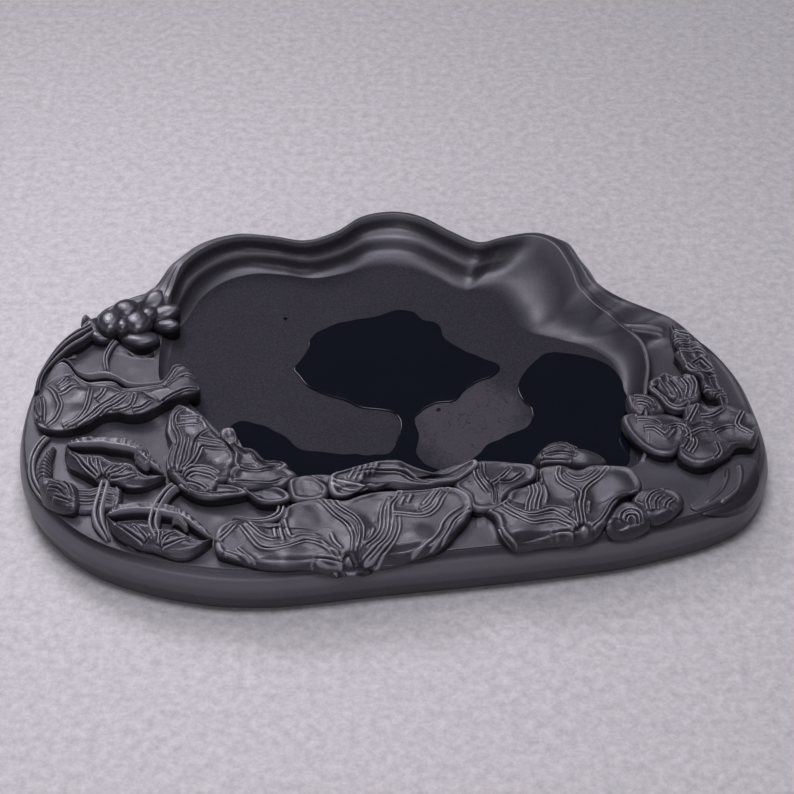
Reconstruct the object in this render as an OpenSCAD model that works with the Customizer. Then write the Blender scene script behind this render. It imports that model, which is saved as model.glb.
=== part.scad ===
// Carved ink stone: a black slab with a scalloped basin and a lotus pond in relief, lengths in mm.
// X runs to the right, Y to the back and Z up, from the middle of the flat underside.
// Places in the outlines are read off a stone 257 wide and 176 deep, from a point middle_x left of its middle,
// and stretch with body_w and body_d.

/* [Stone] */
// Overall width of the stone
body_w = 257; // [220:2:320]
// Overall depth of the stone
body_d = 176; // [150:2:210]
// Height of the scalloped back rim
rim_h = 28; // [24:0.5:34]
// Height of the thin ridge on the right of the basin
ridge_h = 22; // [20:0.5:26]
// Height of the flat ground that the carving stands on
ground_h = 18; // [16.5:0.5:20]
// Height of the basin floor
floor_h = 15.5; // [12:0.5:16]
// Height of the widest part of the wall
belly_h = 9; // [6:0.5:12]
// How far the foot stands in from the wall
foot_inset = 3.5; // [1:0.5:6]
// Rounding at the bottom of the wall
foot_round = 2.5; // [1:0.5:4]
// Rounding along the top edge of the wall
lip_round = 1.6; // [0.6:0.2:2.4]
// Width of the thin ridge on the right
ridge_w = 3; // [2:0.5:5]
// Least inset of the wall's top from its widest line
lip_inset = 1; // [0.6:0.1:1.4]

/* [Ink] */
// Thickness of the ink film on the basin floor
ink_film = 0.5; // [0.2:0.1:1]
// Gap between the ink film and the stone round it
ink_gap = 0.3; // [0.2:0.1:0.6]

/* [Leaves] */
// Height of a leaf's edge over the ground
leaf_edge = 3.2; // [2:0.2:5]
// Height of a leaf's middle over the ground
leaf_crown = 5.4; // [3:0.2:8]
// Height of the ribs on the leaves
rib_h = 0.5; // [0.2:0.1:1]
// How far a leaf's underside draws in below its edge
undercut = 0.05; // [0:0.01:0.12]

/* [Pods and furled leaves] */
// Height of the back edge over the ground
pod_back = 4.6; // [3:0.2:7]
// Height of the folded front lip over the ground
pod_lip = 6; // [4:0.2:8]
// Height of the hollow's floor over the ground
pod_hollow = 1.6; // [0.8:0.2:3]

/* [Stems] */
// Width of a thick stem
stem_w = 4.6; // [3:0.2:6]
// Width of a thin stem
thin_stem_w = 2.6; // [1.6:0.2:4]
// Height of a stem over the ground
stem_h = 3; // [1.6:0.2:4.5]

/* [Flower] */
// Height of the outer petals' tips over the ground
petal_tip = 10; // [6:0.5:13]
// Height of the inner petals over the ground
petal_heart = 7; // [4:0.5:10]
// Height of a petal's root over the ground
petal_root = 4; // [3:0.2:5]
// Width of an outer petal
petal_w = 9; // [7:0.2:10.5]

/* [Hidden] */
stone_tone = "#3a3a40";
carved_tone = "#4a4a52";
ink_tone = "#12161f";
stretch_x = body_w / 257;
stretch_y = body_d / 176;
smooth_steps = 3;
middle_x = 1;
basin_mid = [0, 12];
ink_notch = leaf_edge * 5;

// Stations round the stone, counted from the right-hand end over the back:
// wall x, wall y, basin edge x, basin edge y, height outside the edge, height of the edge,
// run of the basin wall, and inset of the wall's top counted in lip_inset
step_h = (ridge_h + rim_h) / 2;
stations = [
    [129.5, -27, 87, -20, ground_h, ridge_h, 4, 2.5], [127.5, -9, 88, -6, ground_h, ridge_h, 5, 2],
    [123.5, 8, 90, 7, ground_h, ridge_h, 7, 2], [115, 24, 89, 18, ground_h, ridge_h, 9, 2],
    [102, 35.5, 84, 26, ridge_h, ridge_h, 10, 2], [88.5, 41.5, 77, 32, step_h, step_h, 13, 3],
    [80, 50, 69, 40, rim_h, rim_h, 17, 6], [76, 62, 66, 53, rim_h, rim_h, 21, 7],
    [67.5, 72, 61, 66, rim_h, rim_h, 24, 3.5], [55, 75.5, 53, 71, rim_h, rim_h, 20, 1.2],
    [43, 73, 42, 69, rim_h, rim_h, 14, 1], [33, 70, 32.5, 66, rim_h, rim_h, 8, 1],
    [23, 76.5, 22, 72.5, rim_h, rim_h, 8, 1], [12, 85, 11.5, 81, rim_h, rim_h, 10, 1],
    [1, 88, 1, 84, rim_h, rim_h, 11, 1], [-11, 85, -10.5, 81, rim_h, rim_h, 9.5, 1],
    [-21, 76, -20, 72, rim_h, rim_h, 5, 1], [-32, 71, -31.5, 67, rim_h, rim_h, 3.5, 1],
    [-45, 73.5, -44, 69.5, rim_h, rim_h, 4.5, 1], [-58, 74.5, -56.5, 70.5, rim_h, rim_h, 6, 1],
    [-71, 69, -67.5, 65.5, rim_h, rim_h, 6, 1], [-80.5, 58, -76, 55, rim_h, rim_h, 6, 1],
    [-89, 47, -80, 41, step_h, step_h, 6, 2], [-99, 42, -82, 32, ground_h, ground_h, 5, 2],
    [-110.5, 33, -82, 22, ground_h, ground_h, 4, 2], [-120, 19, -82, 12, ground_h, ground_h, 3, 2],
    [-125.8, 2, -80, 2, ground_h, ground_h, 2, 2], [-127.5, -16, -70, -8, ground_h, ground_h, 1.5, 2.2],
    [-126, -33, -62, -18, ground_h, ground_h, 1.5, 2.5], [-121, -48.5, -56, -26, ground_h, ground_h, 1.5, 3],
    [-111.5, -62.5, -52, -32, ground_h, ground_h, 1.5, 3], [-98, -74, -46, -37, ground_h, ground_h, 1.5, 3],
    [-80, -82, -40, -41, ground_h, ground_h, 1.5, 3], [-59, -87, -34, -45, ground_h, ground_h, 1.5, 3],
    [-41, -88, -26, -47, ground_h, ground_h, 1.5, 3], [-25, -86.5, -16, -46, ground_h, ground_h, 1.5, 3],
    [-5, -83.5, -3, -42, ground_h, ground_h, 1.5, 3], [22, -80, 14, -44, ground_h, ground_h, 1.5, 3],
    [47, -76.5, 34, -41, ground_h, ground_h, 1.5, 3], [74, -72, 52, -40, ground_h, ground_h, 1.5, 3],
    [92, -67, 66, -41, ground_h, ground_h, 1.5, 3], [109, -60.5, 77, -41, ground_h, ground_h, 1.5, 3],
    [120, -53, 84, -37, ground_h, ground_h, 1.5, 3], [127, -41, 87, -29, ground_h, ridge_h, 3, 3]
];

function sized(p) = [(p[0] - middle_x) * stretch_x, p[1] * stretch_y];
function mid(a, b, t) = a + (b - a) * t;
function way(a, b) = norm(b - a) < 0.001 ? [0, 0] : (b - a) / norm(b - a);
function over(p, h) = [p[0], p[1], h];
function curve(a, b, c, d, t) =
    0.5 * (2 * b + (c - a) * t + (2 * a - 5 * b + 4 * c - d) * t * t + (3 * b - a - 3 * c + d) * t * t * t);
function round_curve(p, steps = smooth_steps) =
    [for (i = [0 : len(p) - 1], k = [0 : steps - 1])
        curve(p[(i + len(p) - 1) % len(p)], p[i], p[(i + 1) % len(p)], p[(i + 2) % len(p)], k / steps)];
function open_curve(p, steps = smooth_steps) =
    concat([for (i = [0 : len(p) - 2], k = [0 : steps - 1])
        curve(p[max(i - 1, 0)], p[i], p[i + 1], p[min(i + 2, len(p) - 1)], k / steps)], [p[len(p) - 1]]);
function area(p) = [for (i = [0 : len(p) - 1]) let (q = p[(i + 1) % len(p)]) p[i][0] * q[1] - q[0] * p[i][1]]
    * [for (i = p) 1];
function turned(p) = area(p) > 0 ? p : [for (i = [len(p) - 1 : -1 : 0]) p[i]];
function flat(rings) = [for (ring = rings) for (p = ring) p];

// A closed skin over rings of equal length, with a middle point at each end
module loft(rings, low, high) {
    n = len(rings[0]);
    top = len(rings) - 1;
    ends = n * len(rings);
    polyhedron(
        points = concat(flat(rings), [low, high]),
        faces = concat(
            [for (i = [0 : n - 1]) [i, (i + 1) % n, ends]],
            [for (r = [0 : top - 1], i = [0 : n - 1]) [r * n + i, (r + 1) * n + i, (r + 1) * n + (i + 1) % n]],
            [for (r = [0 : top - 1], i = [0 : n - 1]) [r * n + i, (r + 1) * n + (i + 1) % n, r * n + (i + 1) % n]],
            [for (i = [0 : n - 1]) [top * n + (i + 1) % n, top * n + i, ends + 1]]));
}

// A leaf that spreads from a hub, ribbed towards its outline
module leaf(hub, outline, crown = leaf_crown, edge = leaf_edge, stand = ground_h, steps = smooth_steps) {
    middle = sized(hub);
    rim = round_curve(turned([for (p = outline) sized(p)]), steps);
    shares = [1, 0.86, 0.6, 0.3];
    loft(concat(
            [[for (p = rim) over(mid(middle, p, 1 - undercut), stand)]],
            [for (s = shares) [for (i = [0 : len(rim) - 1])
                over(mid(middle, rim[i], s),
                     ground_h + mid(edge, crown, cos(90 * s)) + (i % 2) * rib_h * sin(180 * min(s, 0.9)))]]),
        over(middle, stand), over(middle, ground_h + crown));
}

// A furled leaf or pod between two edges: across it run pairs of share and height over the ground
module furl(back, front, across, rib = rib_h, steps = smooth_steps) {
    a = open_curve([for (p = back) sized(p)], steps);
    b = open_curve([for (p = front) sized(p)], steps);
    last = len(a) - 1;
    cut = undercut / 2;
    function swell(i) = 0.45 + 0.55 * sin(180 * i / last) + (i % 2) * rib / pod_lip;
    loft([for (i = [0 : last]) concat(
            [over(mid(a[i], b[i], 1 - cut), ground_h), over(mid(a[i], b[i], cut), ground_h)],
            [for (q = across) over(mid(a[i], b[i], q[0]), ground_h + q[1] * swell(i))])],
        over(mid(a[0], b[0], 0.5), ground_h + across[0][1] * 0.2),
        over(mid(a[last], b[last], 0.5), ground_h + across[0][1] * 0.2));
}

// A stem with a rounded top along a route
module stem(route, wide, high = stem_h, steps = smooth_steps) {
    run = open_curve([for (p = route) sized(p)], steps);
    last = len(run) - 1;
    function side(i) = let (w = way(run[max(i - 1, 0)], run[min(i + 1, last)])) [w[1], -w[0]];
    section = [[-0.5, 0], [-0.42, 0.7], [-0.18, 1], [0, 0.82], [0.18, 1], [0.42, 0.7], [0.5, 0]];
    loft([for (i = [0 : last]) [for (s = section) over(run[i] + side(i) * wide * s[0], ground_h + high * s[1])]],
        over(run[0], ground_h + high / 2), over(run[last], ground_h + high / 2));
}

// A petal that rises and widens from its root to its tip
module petal(root, tip, wide, low, high) {
    a = sized(root);
    b = sized(tip);
    w = way(a, b);
    out = [w[1], -w[0]];
    across = [[0.5, 0], [0.5, 0.94], [0.3, 1], [0, 0.84], [-0.3, 1], [-0.5, 0.94], [-0.5, 0]];
    steps = 6;
    function girth(t) = wide * (0.45 + 0.55 * sin(180 * pow(t, 0.8))) * (t < 1 ? 1 : 0.5);
    loft([for (k = [0 : steps]) let (t = k / steps)
            [for (q = across) over(mid(a, b, t) - out * girth(t) * q[0],
                ground_h + (q[1] == 0 ? 0 : mid(low, high, sin(90 * t)) * q[1]))]],
        over(a, ground_h + low / 2), over(b, ground_h + high / 2));
}

module stone_block() {
    wall = round_curve([for (s = stations) sized([s[0], s[1]])]);
    edge = round_curve([for (s = stations) sized([s[2], s[3]])]);
    count = len(wall);
    function level(i, column) = let (s = floor(i / smooth_steps), t = i / smooth_steps - s)
        mid(stations[s][column], stations[(s + 1) % len(stations)][column], t);
    function inward(i, d) = wall[i] + way(wall[i], edge[i]) * d;
    function top_in(i) = level(i, 7) * lip_inset;
    function brow(i) = top_in(i) + lip_round;
    function outside(i) = let (room = norm(edge[i] - wall[i]) - brow(i)) edge[i]
        + way(edge[i], wall[i]) * min(ridge_w, room * 0.6);
    function hollow(i, s) = over(edge[i] + way(edge[i], sized(basin_mid)) * level(i, 6) * stretch_y * s,
        floor_h + (level(i, 5) - floor_h) * pow(1 - s, 1.7));
    color(stone_tone)
        loft([
            [for (i = [0 : count - 1]) over(inward(i, foot_inset), 0)],
            [for (i = [0 : count - 1]) over(inward(i, foot_inset * 0.3), foot_round)],
            [for (i = [0 : count - 1]) over(wall[i], belly_h)],
            [for (i = [0 : count - 1]) over(inward(i, top_in(i) * 0.45), mid(belly_h, level(i, 4), 0.6))],
            [for (i = [0 : count - 1]) over(inward(i, top_in(i)), level(i, 4) - lip_round)],
            [for (i = [0 : count - 1]) over(inward(i, brow(i)), level(i, 4))],
            [for (i = [0 : count - 1]) over(outside(i), level(i, 4))],
            [for (i = [0 : count - 1]) over(mid(edge[i], outside(i), 0.4), level(i, 5))],
            for (s = [0, 0.2, 0.45, 0.72, 1]) [for (i = [0 : count - 1]) hollow(i, s)]
        ], [0, 0, 0], over(sized(basin_mid), floor_h));
}

function floor_line() = let (edge = round_curve([for (s = stations) sized([s[2], s[3]])]))
    [for (i = [0 : len(edge) - 1]) let (s = floor(i / smooth_steps), t = i / smooth_steps - s)
        edge[i] + way(edge[i], sized(basin_mid))
            * (mid(stations[s][6], stations[(s + 1) % len(stations)][6], t) * stretch_y + ink_gap)];

basin_leaf_hub = [61, -34];
basin_leaf_line = [[49, -36], [52, -31], [58, -28], [64, -27], [70, -30], [72, -36], [68, -38.6],
    [60, -38.8], [53, -38.4]];
ink_line = [[-34, 12], [-30, 21], [-28, 29], [-23, 33.5], [-14, 37.5], [-5, 39.5], [2, 43], [8, 42],
    [12, 37.5], [17, 36], [20, 28], [25, 22.5], [31, 18], [39, 13], [37, 8], [30, 4], [26, 0],
    [22, -5], [15, -6.5], [9.5, -12], [8.5, -16], [10, -22], [9, -30], [13, -36], [20, -38.5],
    [27, -34], [33, -27], [41, -21], [48, -17], [49, -9], [45, -2], [47, 8], [54, 18], [61, 20],
    [73, 17], [80, 10], [83, 0], [84, -12], [90, -30], [80, -46], [50, -50], [10, -54], [-30, -54],
    [-60, -34], [-62, -20], [-52, -15], [-44, -17], [-36, -22], [-30, -28.5], [-16, -30.5],
    [-2, -31], [1.5, -26], [4, -16], [0, -10], [-10, -8.5], [-17, -4], [-26, 0], [-32, 7]];

module ink_pool() {
    color(ink_tone)
        translate([0, 0, floor_h])
            linear_extrude(ink_film)
                difference() {
                    intersection() {
                        polygon(round_curve([for (p = ink_line) sized(p)], 2));
                        polygon(floor_line());
                    }
                    for (drop = [0, 0.25])
                        translate([0, -drop * ink_notch])
                            polygon(round_curve([for (p = basin_leaf_line)
                                sized(p) + way(sized(basin_leaf_hub), sized(p)) * ink_gap]));
                }
}

// The open lotus flower at the back on the left
module lotus_outer_petals() {
    color(carved_tone) {
        petal([-103.5, 30], [-110.5, 29.5], petal_w * 0.95, petal_root, petal_tip * 0.8);
        petal([-102, 33.8], [-106, 37.5], petal_w, petal_root, petal_tip);
        petal([-98, 35.5], [-97.5, 40], petal_w * 1.05, petal_root, petal_tip);
        petal([-93.5, 35], [-89, 40.5], petal_w * 1.05, petal_root, petal_tip);
        petal([-91, 31.5], [-84, 34.5], petal_w * 1.05, petal_root, petal_tip * 0.9);
        petal([-91, 27], [-84.5, 25], petal_w, petal_root * 0.9, petal_tip * 0.6);
    }
}

module lotus_inner_petals() {
    color(carved_tone) {
        leaf([-100, 28.5], [[-102.8, 26.5], [-102.8, 29.5], [-100.5, 32.4], [-97.5, 31], [-97, 26], [-100, 23.5]],
            petal_heart, petal_heart * 0.6, steps = 4);
        leaf([-94.2, 28.5], [[-97, 26], [-97, 31], [-94, 32], [-91.9, 30], [-92, 26], [-94.5, 23]],
            petal_heart * 0.85, petal_heart * 0.5, steps = 4);
        leaf([-97, 32.4], [[-99.6, 32.4], [-98, 34.4], [-95, 34.2], [-94, 32.4], [-97, 30]],
            petal_heart * 1.1, petal_heart * 0.85, steps = 4);
    }
}

module lotus_stem() {
    color(carved_tone) stem([[-98, 22.2], [-100, 18], [-100.5, 12], [-99.5, 7.5]], thin_stem_w);
}

module rim_leaf() {
    color(carved_tone)
        leaf([-114, 20], [[-125, 2], [-122.5, 12], [-117.5, 19], [-111, 26.5], [-107, 27.5], [-107, 24],
            [-109, 18], [-113, 12], [-118, 8], [-121.5, 2]], leaf_crown * 0.85);
}

// The long leaf that rolls over the left edge of the basin
module furled_leaf() {
    color(carved_tone)
        furl([[-122.5, -19], [-123.5, -8], [-120, 3], [-112, 7.5], [-106, 3], [-98, 3.4], [-90, -1],
              [-83, -1], [-76, 6], [-72, 5.5]],
            [[-119, -23.5], [-114, -24.5], [-108, -23], [-103, -20.5], [-98, -17], [-91, -17.5],
             [-84, -17], [-78, -12.5], [-70, -9], [-67, -3]],
            [[0, pod_back], [0.2, pod_back * 1.15], [0.36, pod_hollow], [0.5, pod_lip],
             [0.72, pod_lip * 0.85], [1, leaf_edge]]);
}

module furled_leaf_stem() {
    color(carved_tone)
        stem([[-119, -25.5], [-121, -31], [-122, -38], [-121, -45], [-118, -51], [-114.5, -56]], thin_stem_w);
}

// Two seed pods, open along the back
module upper_pod() {
    color(carved_tone)
        furl([[-108.5, -29.5], [-104, -28.3], [-97, -27.5], [-91, -28], [-86, -31], [-81, -35.5], [-77, -41]],
            [[-108, -34], [-105.5, -40], [-101, -44.5], [-95, -46.3], [-88, -49.5], [-82, -49.8], [-76.5, -46]],
            [[0, pod_back], [0.12, pod_back * 1.15], [0.22, pod_hollow], [0.4, pod_hollow], [0.5, pod_lip],
             [0.75, pod_lip * 0.8], [1, leaf_edge]]);
}

module upper_pod_stem() {
    color(carved_tone)
        stem([[-97.5, -49.8], [-98, -54], [-98.5, -60], [-98, -66], [-95, -72], [-90, -77.5]], stem_w);
}

module fluted_leaf() {
    color(carved_tone) {
        furl([[-112.5, -31], [-113, -36], [-113.5, -41], [-114, -44.5]],
            [[-116, -32], [-117.5, -37], [-118.2, -41], [-117.8, -44.5]],
            [[0, leaf_edge], [0.5, leaf_edge * 1.25], [1, leaf_edge * 0.8]]);
        leaf([-109, -52], [[-115.5, -46], [-110, -46], [-104, -49], [-102.6, -54], [-104, -60], [-109, -60.5],
            [-112.5, -56.5]], leaf_crown * 0.85);
    }
}

module lower_pod() {
    color(carved_tone)
        furl([[-91, -62.5], [-87, -60.2], [-83, -60], [-79, -60.4], [-72.5, -61], [-66, -63.5], [-60, -70]],
            [[-91.5, -65.5], [-87, -69.5], [-81, -74.2], [-77, -76.2], [-70, -79], [-64, -79], [-58.5, -75]],
            [[0, pod_back], [0.1, pod_back * 1.1], [0.22, pod_hollow], [0.36, pod_hollow], [0.46, pod_lip],
             [0.72, pod_lip * 0.75], [1, leaf_edge]]);
}

module lower_pod_stem() {
    color(carved_tone) {
        stem([[-71, -50.5], [-74, -54], [-76.5, -58.8]], stem_w);
        stem([[-76.5, -77.8], [-73, -80.5], [-69, -83]], stem_w);
    }
}

// The fan leaf and the lobes that lie along the front of the basin
module fan_leaf() {
    color(carved_tone)
        leaf([-68, -40], [[-71, -48.5], [-75, -40], [-76.5, -31], [-79, -20], [-75, -14], [-71, -12], [-67, -14.5],
            [-61, -20], [-57.5, -28], [-53.5, -33.5], [-53, -41], [-57, -46], [-62, -51.5], [-66, -50.5]],
            leaf_crown, leaf_edge * 1.2);
}

module fan_leaf_lobes() {
    color(carved_tone) {
        leaf([-46, -45], [[-51.5, -38], [-51, -30.5], [-46.5, -33.5], [-42.5, -38], [-36.5, -39], [-35, -45],
            [-37, -54], [-43, -57.8], [-50, -53], [-56, -49.5]]);
        leaf([-29, -51], [[-35.5, -47], [-31, -44.8], [-25, -46.5], [-22, -50], [-23, -55.8], [-30, -56.5],
            [-35.5, -53]], leaf_crown * 0.85);
    }
}

module curled_tendril() {
    color(carved_tone) stem([[-36, -59.5], [-36.5, -63], [-40, -65.3], [-46, -65.3], [-51, -64]], thin_stem_w);
}

// The broad lotus leaves along the front
module front_leaf_left() {
    color(carved_tone)
        leaf([-12, -76], [[-54, -80], [-55, -72], [-50, -67.6], [-40, -68.5], [-34.5, -62], [-28, -58.5], [-21, -57.5],
            [-14, -58.5], [-6, -56.5], [0, -54], [8, -54], [17, -53.5], [21, -57], [25, -61], [20.5, -66],
            [18, -72], [15, -78], [6, -80.2], [-4, -81.3], [-16, -84], [-28, -85.2], [-42, -85.8], [-50, -84.5]]);
}

module front_leaf_fold() {
    color(carved_tone)
        leaf([4, -47], [[-19, -49], [-12, -44.5], [-4, -41.5], [4, -40.5], [10, -43], [17, -43.4], [19, -47.5],
            [17.5, -51.3], [8, -52], [0, -52], [-6, -54.2], [-13, -56], [-18.5, -54.5]],
            leaf_crown * 1.1, leaf_edge * 1.2);
}

module front_leaf_middle() {
    color(carved_tone)
        leaf([31, -50], [[21, -53], [21.5, -47.5], [26, -43], [31, -40.8], [38, -40.4], [41.5, -43], [41, -50],
            [37, -54.5], [34.5, -60], [28, -60.5], [24.5, -57]]);
}

module front_leaf_right() {
    color(carved_tone)
        leaf([60, -62], [[37.5, -57.5], [43, -51.5], [44.5, -45], [49, -42.5], [57, -42.3], [66, -42.6], [76, -43],
            [82, -46.5], [82, -52], [76, -59], [73, -66], [67, -71.5], [55, -73.6], [42, -75.2], [34, -75.8],
            [31, -70], [33, -64]]);
}

module front_leaf_end() {
    color(carved_tone)
        leaf([84, -60], [[77.5, -60.5], [82, -54.5], [88, -51.5], [93, -53], [95.5, -58], [92.5, -63], [85, -66],
            [77, -67.5], [74.8, -65]], leaf_crown * 0.85);
}

// The leaf that stands up out of the ink
module basin_leaf() {
    color(carved_tone) leaf(basin_leaf_hub, basin_leaf_line, leaf_edge, leaf_edge * 0.4, floor_h);
}

// The leaves and the bud on the right
module narrow_leaf() {
    color(carved_tone)
        furl([[98, 27.5], [98.5, 20], [99.5, 13], [104.5, 6.5], [107, -0.5], [111, -7.5], [117, -12.5]],
            [[103, 28], [107, 22], [110, 15], [112.5, 9], [115.5, 2], [119, -4], [120.5, -10]],
            [[0, leaf_edge], [0.15, leaf_edge * 1.3], [0.5, pod_hollow], [0.85, leaf_edge * 1.3], [1, leaf_edge]]);
}

module lotus_bud() {
    color(carved_tone)
        leaf([98, -3.5], [[90.5, -4], [93, 2], [98, 5], [103, 4], [105, -1], [104, -8], [99.5, -12.8], [94.5, -9.3]],
            leaf_crown, leaf_edge * 1.2);
}

module side_leaf_upper() {
    color(carved_tone)
        leaf([95, -19], [[83.5, -12.5], [88, -9.5], [93.5, -11], [98.5, -14.5], [102.5, -18], [101.5, -25], [97, -32],
            [90, -33], [86, -26], [83, -18]]);
}

module side_leaf_lower() {
    color(carved_tone)
        leaf([111, -27], [[105.5, -10.5], [112, -13], [118.5, -15], [123, -20], [124.5, -26], [122.5, -31], [116, -34],
            [111, -42], [104, -44], [97.5, -39], [99.5, -32], [103, -26], [104.5, -18]],
            leaf_crown, leaf_edge * 1.2);
}

stone_block();
ink_pool();
lotus_outer_petals();
lotus_inner_petals();
lotus_stem();
rim_leaf();
furled_leaf();
furled_leaf_stem();
upper_pod();
upper_pod_stem();
fluted_leaf();
lower_pod();
lower_pod_stem();
fan_leaf();
fan_leaf_lobes();
curled_tendril();
front_leaf_left();
front_leaf_fold();
front_leaf_middle();
front_leaf_right();
front_leaf_end();
basin_leaf();
narrow_leaf();
lotus_bud();
side_leaf_upper();
side_leaf_lower();
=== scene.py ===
import math

import bmesh
import bpy
import numpy as np
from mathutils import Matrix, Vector


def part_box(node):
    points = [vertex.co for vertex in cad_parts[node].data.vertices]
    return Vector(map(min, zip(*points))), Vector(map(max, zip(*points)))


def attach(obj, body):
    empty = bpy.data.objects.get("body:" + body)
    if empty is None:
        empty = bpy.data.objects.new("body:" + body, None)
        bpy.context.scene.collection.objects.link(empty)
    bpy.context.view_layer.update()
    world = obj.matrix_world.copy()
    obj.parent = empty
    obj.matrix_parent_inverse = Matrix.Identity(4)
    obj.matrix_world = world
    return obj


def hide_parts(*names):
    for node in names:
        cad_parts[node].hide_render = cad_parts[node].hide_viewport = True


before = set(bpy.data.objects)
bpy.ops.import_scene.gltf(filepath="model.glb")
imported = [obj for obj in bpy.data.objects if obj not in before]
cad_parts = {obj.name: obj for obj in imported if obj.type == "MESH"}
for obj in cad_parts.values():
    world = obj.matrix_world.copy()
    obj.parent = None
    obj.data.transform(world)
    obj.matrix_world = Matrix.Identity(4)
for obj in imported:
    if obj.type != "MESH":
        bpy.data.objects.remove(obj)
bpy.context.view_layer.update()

mm, perMetre = 0.001, 1000

# Places below are in mm on the stone as drawn, from a point middleX left of its middle
drawn = {"width": 257.0, "depth": 176.0, "middleX": 1.0, "basinMid": (0.0, 12.0), "ridgeUp": 4.0}
blockLow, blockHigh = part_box("stone_block")
stretchX = (blockHigh.x - blockLow.x) * perMetre / drawn["width"]
stretchY = (blockHigh.y - blockLow.y) * perMetre / drawn["depth"]
rimHeight = blockHigh.z * perMetre
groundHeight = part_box("front_leaf_left")[0].z * perMetre
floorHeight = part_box("ink_pool")[0].z * perMetre
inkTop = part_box("ink_pool")[1].z * perMetre
ridgeHeight = groundHeight + drawn["ridgeUp"]
stepHeight = (ridgeHeight + rimHeight) / 2
print("ground", round(groundHeight, 2), "basin floor", round(floorHeight, 2), "ink", round(inkTop, 2))


# Curves through given points, and heights, all on arrays in mm
def blendCurve(a, b, c, d, t):
    return 0.5 * (2 * b + (c - a) * t + (2 * a - 5 * b + 4 * c - d) * t**2 + (3 * b - a - 3 * c + d) * t**3)


def closedCurve(points, u):
    pts = np.asarray(points, float)
    n = len(pts)
    place = np.mod(u, 1.0) * n
    i = np.floor(place).astype(int) % n
    t = place - np.floor(place)
    if pts.ndim == 2:
        t = t[..., None]
    return blendCurve(pts[(i - 1) % n], pts[i], pts[(i + 1) % n], pts[(i + 2) % n], t)


def closedLine(values, u):
    vals = np.asarray(values, float)
    place = np.mod(u, 1.0) * len(vals)
    i = np.floor(place).astype(int) % len(vals)
    t = place - np.floor(place)
    t = t * t * (3 - 2 * t)
    return vals[i] * (1 - t) + vals[(i + 1) % len(vals)] * t


def openCurve(points, u):
    pts = np.asarray(points, float)
    last = len(pts) - 1
    place = np.clip(u, 0, 1) * last
    i = np.minimum(np.floor(place).astype(int), last - 1)
    t = place - i
    if pts.ndim == 2:
        t = t[..., None]
    return blendCurve(pts[np.maximum(i - 1, 0)], pts[i], pts[i + 1], pts[np.minimum(i + 2, last)], t)


def throughKeys(keys, t):
    xs = np.array([k[0] for k in keys], float)
    ys = np.array([k[1] for k in keys], float)
    slope = np.gradient(ys, xs)
    t = np.clip(t, xs[0], xs[-1])
    i = np.clip(np.searchsorted(xs, t, side="right") - 1, 0, len(xs) - 2)
    gap = xs[i + 1] - xs[i]
    s = (t - xs[i]) / gap
    return (
        ys[i] * (1 + 2 * s) * (1 - s) ** 2
        + slope[i] * gap * s * (1 - s) ** 2
        + ys[i + 1] * s * s * (3 - 2 * s)
        - slope[i + 1] * gap * s * s * (1 - s)
    )


def bell(away, width):
    return np.exp(-((away / width) ** 2))


def step(low, high, x):
    t = np.clip((x - low) / (high - low), 0, 1)
    return t * t * (3 - 2 * t)


# Smooth noise from -1 to 1, with patches of the given size
def cloud(x, y, size, seed):
    cells = 64
    lattice = np.random.RandomState(seed).rand(cells, cells) * 2 - 1
    gx, gy = x / size + 17.3, y / size + 23.7
    i, j = np.floor(gx).astype(int), np.floor(gy).astype(int)
    s, t = gx - i, gy - j
    s, t = s * s * (3 - 2 * s), t * t * (3 - 2 * t)

    def pick(a, b):
        return lattice[a % cells, b % cells]

    low = pick(i, j) * (1 - s) + pick(i + 1, j) * s
    high = pick(i, j + 1) * (1 - s) + pick(i + 1, j + 1) * s
    return low * (1 - t) + high * t


# Distance to the nearest point of a curve, and that point's share of the way along it
def lineDistance(x, y, line, closed=False, fineness=6):
    count = fineness * (len(line) - (0 if closed else 1))
    u = np.linspace(0, 1, count + 1)
    path = closedCurve(line, u) if closed else openCurve(line, u)
    best = np.full(x.shape, 1e9)
    share = np.zeros(x.shape)
    for k in range(count):
        ax, ay = path[k]
        dx, dy = path[k + 1] - path[k]
        t = np.clip(((x - ax) * dx + (y - ay) * dy) / (dx * dx + dy * dy + 1e-9), 0, 1)
        d = np.hypot(x - ax - dx * t, y - ay - dy * t)
        near = d < best
        best = np.where(near, d, best)
        share = np.where(near, (k + t) / count, share)
    return best, share


def unit(v):
    return v / np.maximum(np.linalg.norm(v, axis=-1, keepdims=True), 1e-9)


def toFrame(xyz):
    out = np.array(xyz, float)
    out[:, 0] = (out[:, 0] - drawn["middleX"]) * stretchX
    out[:, 1] = out[:, 1] * stretchY
    return out * mm


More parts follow.
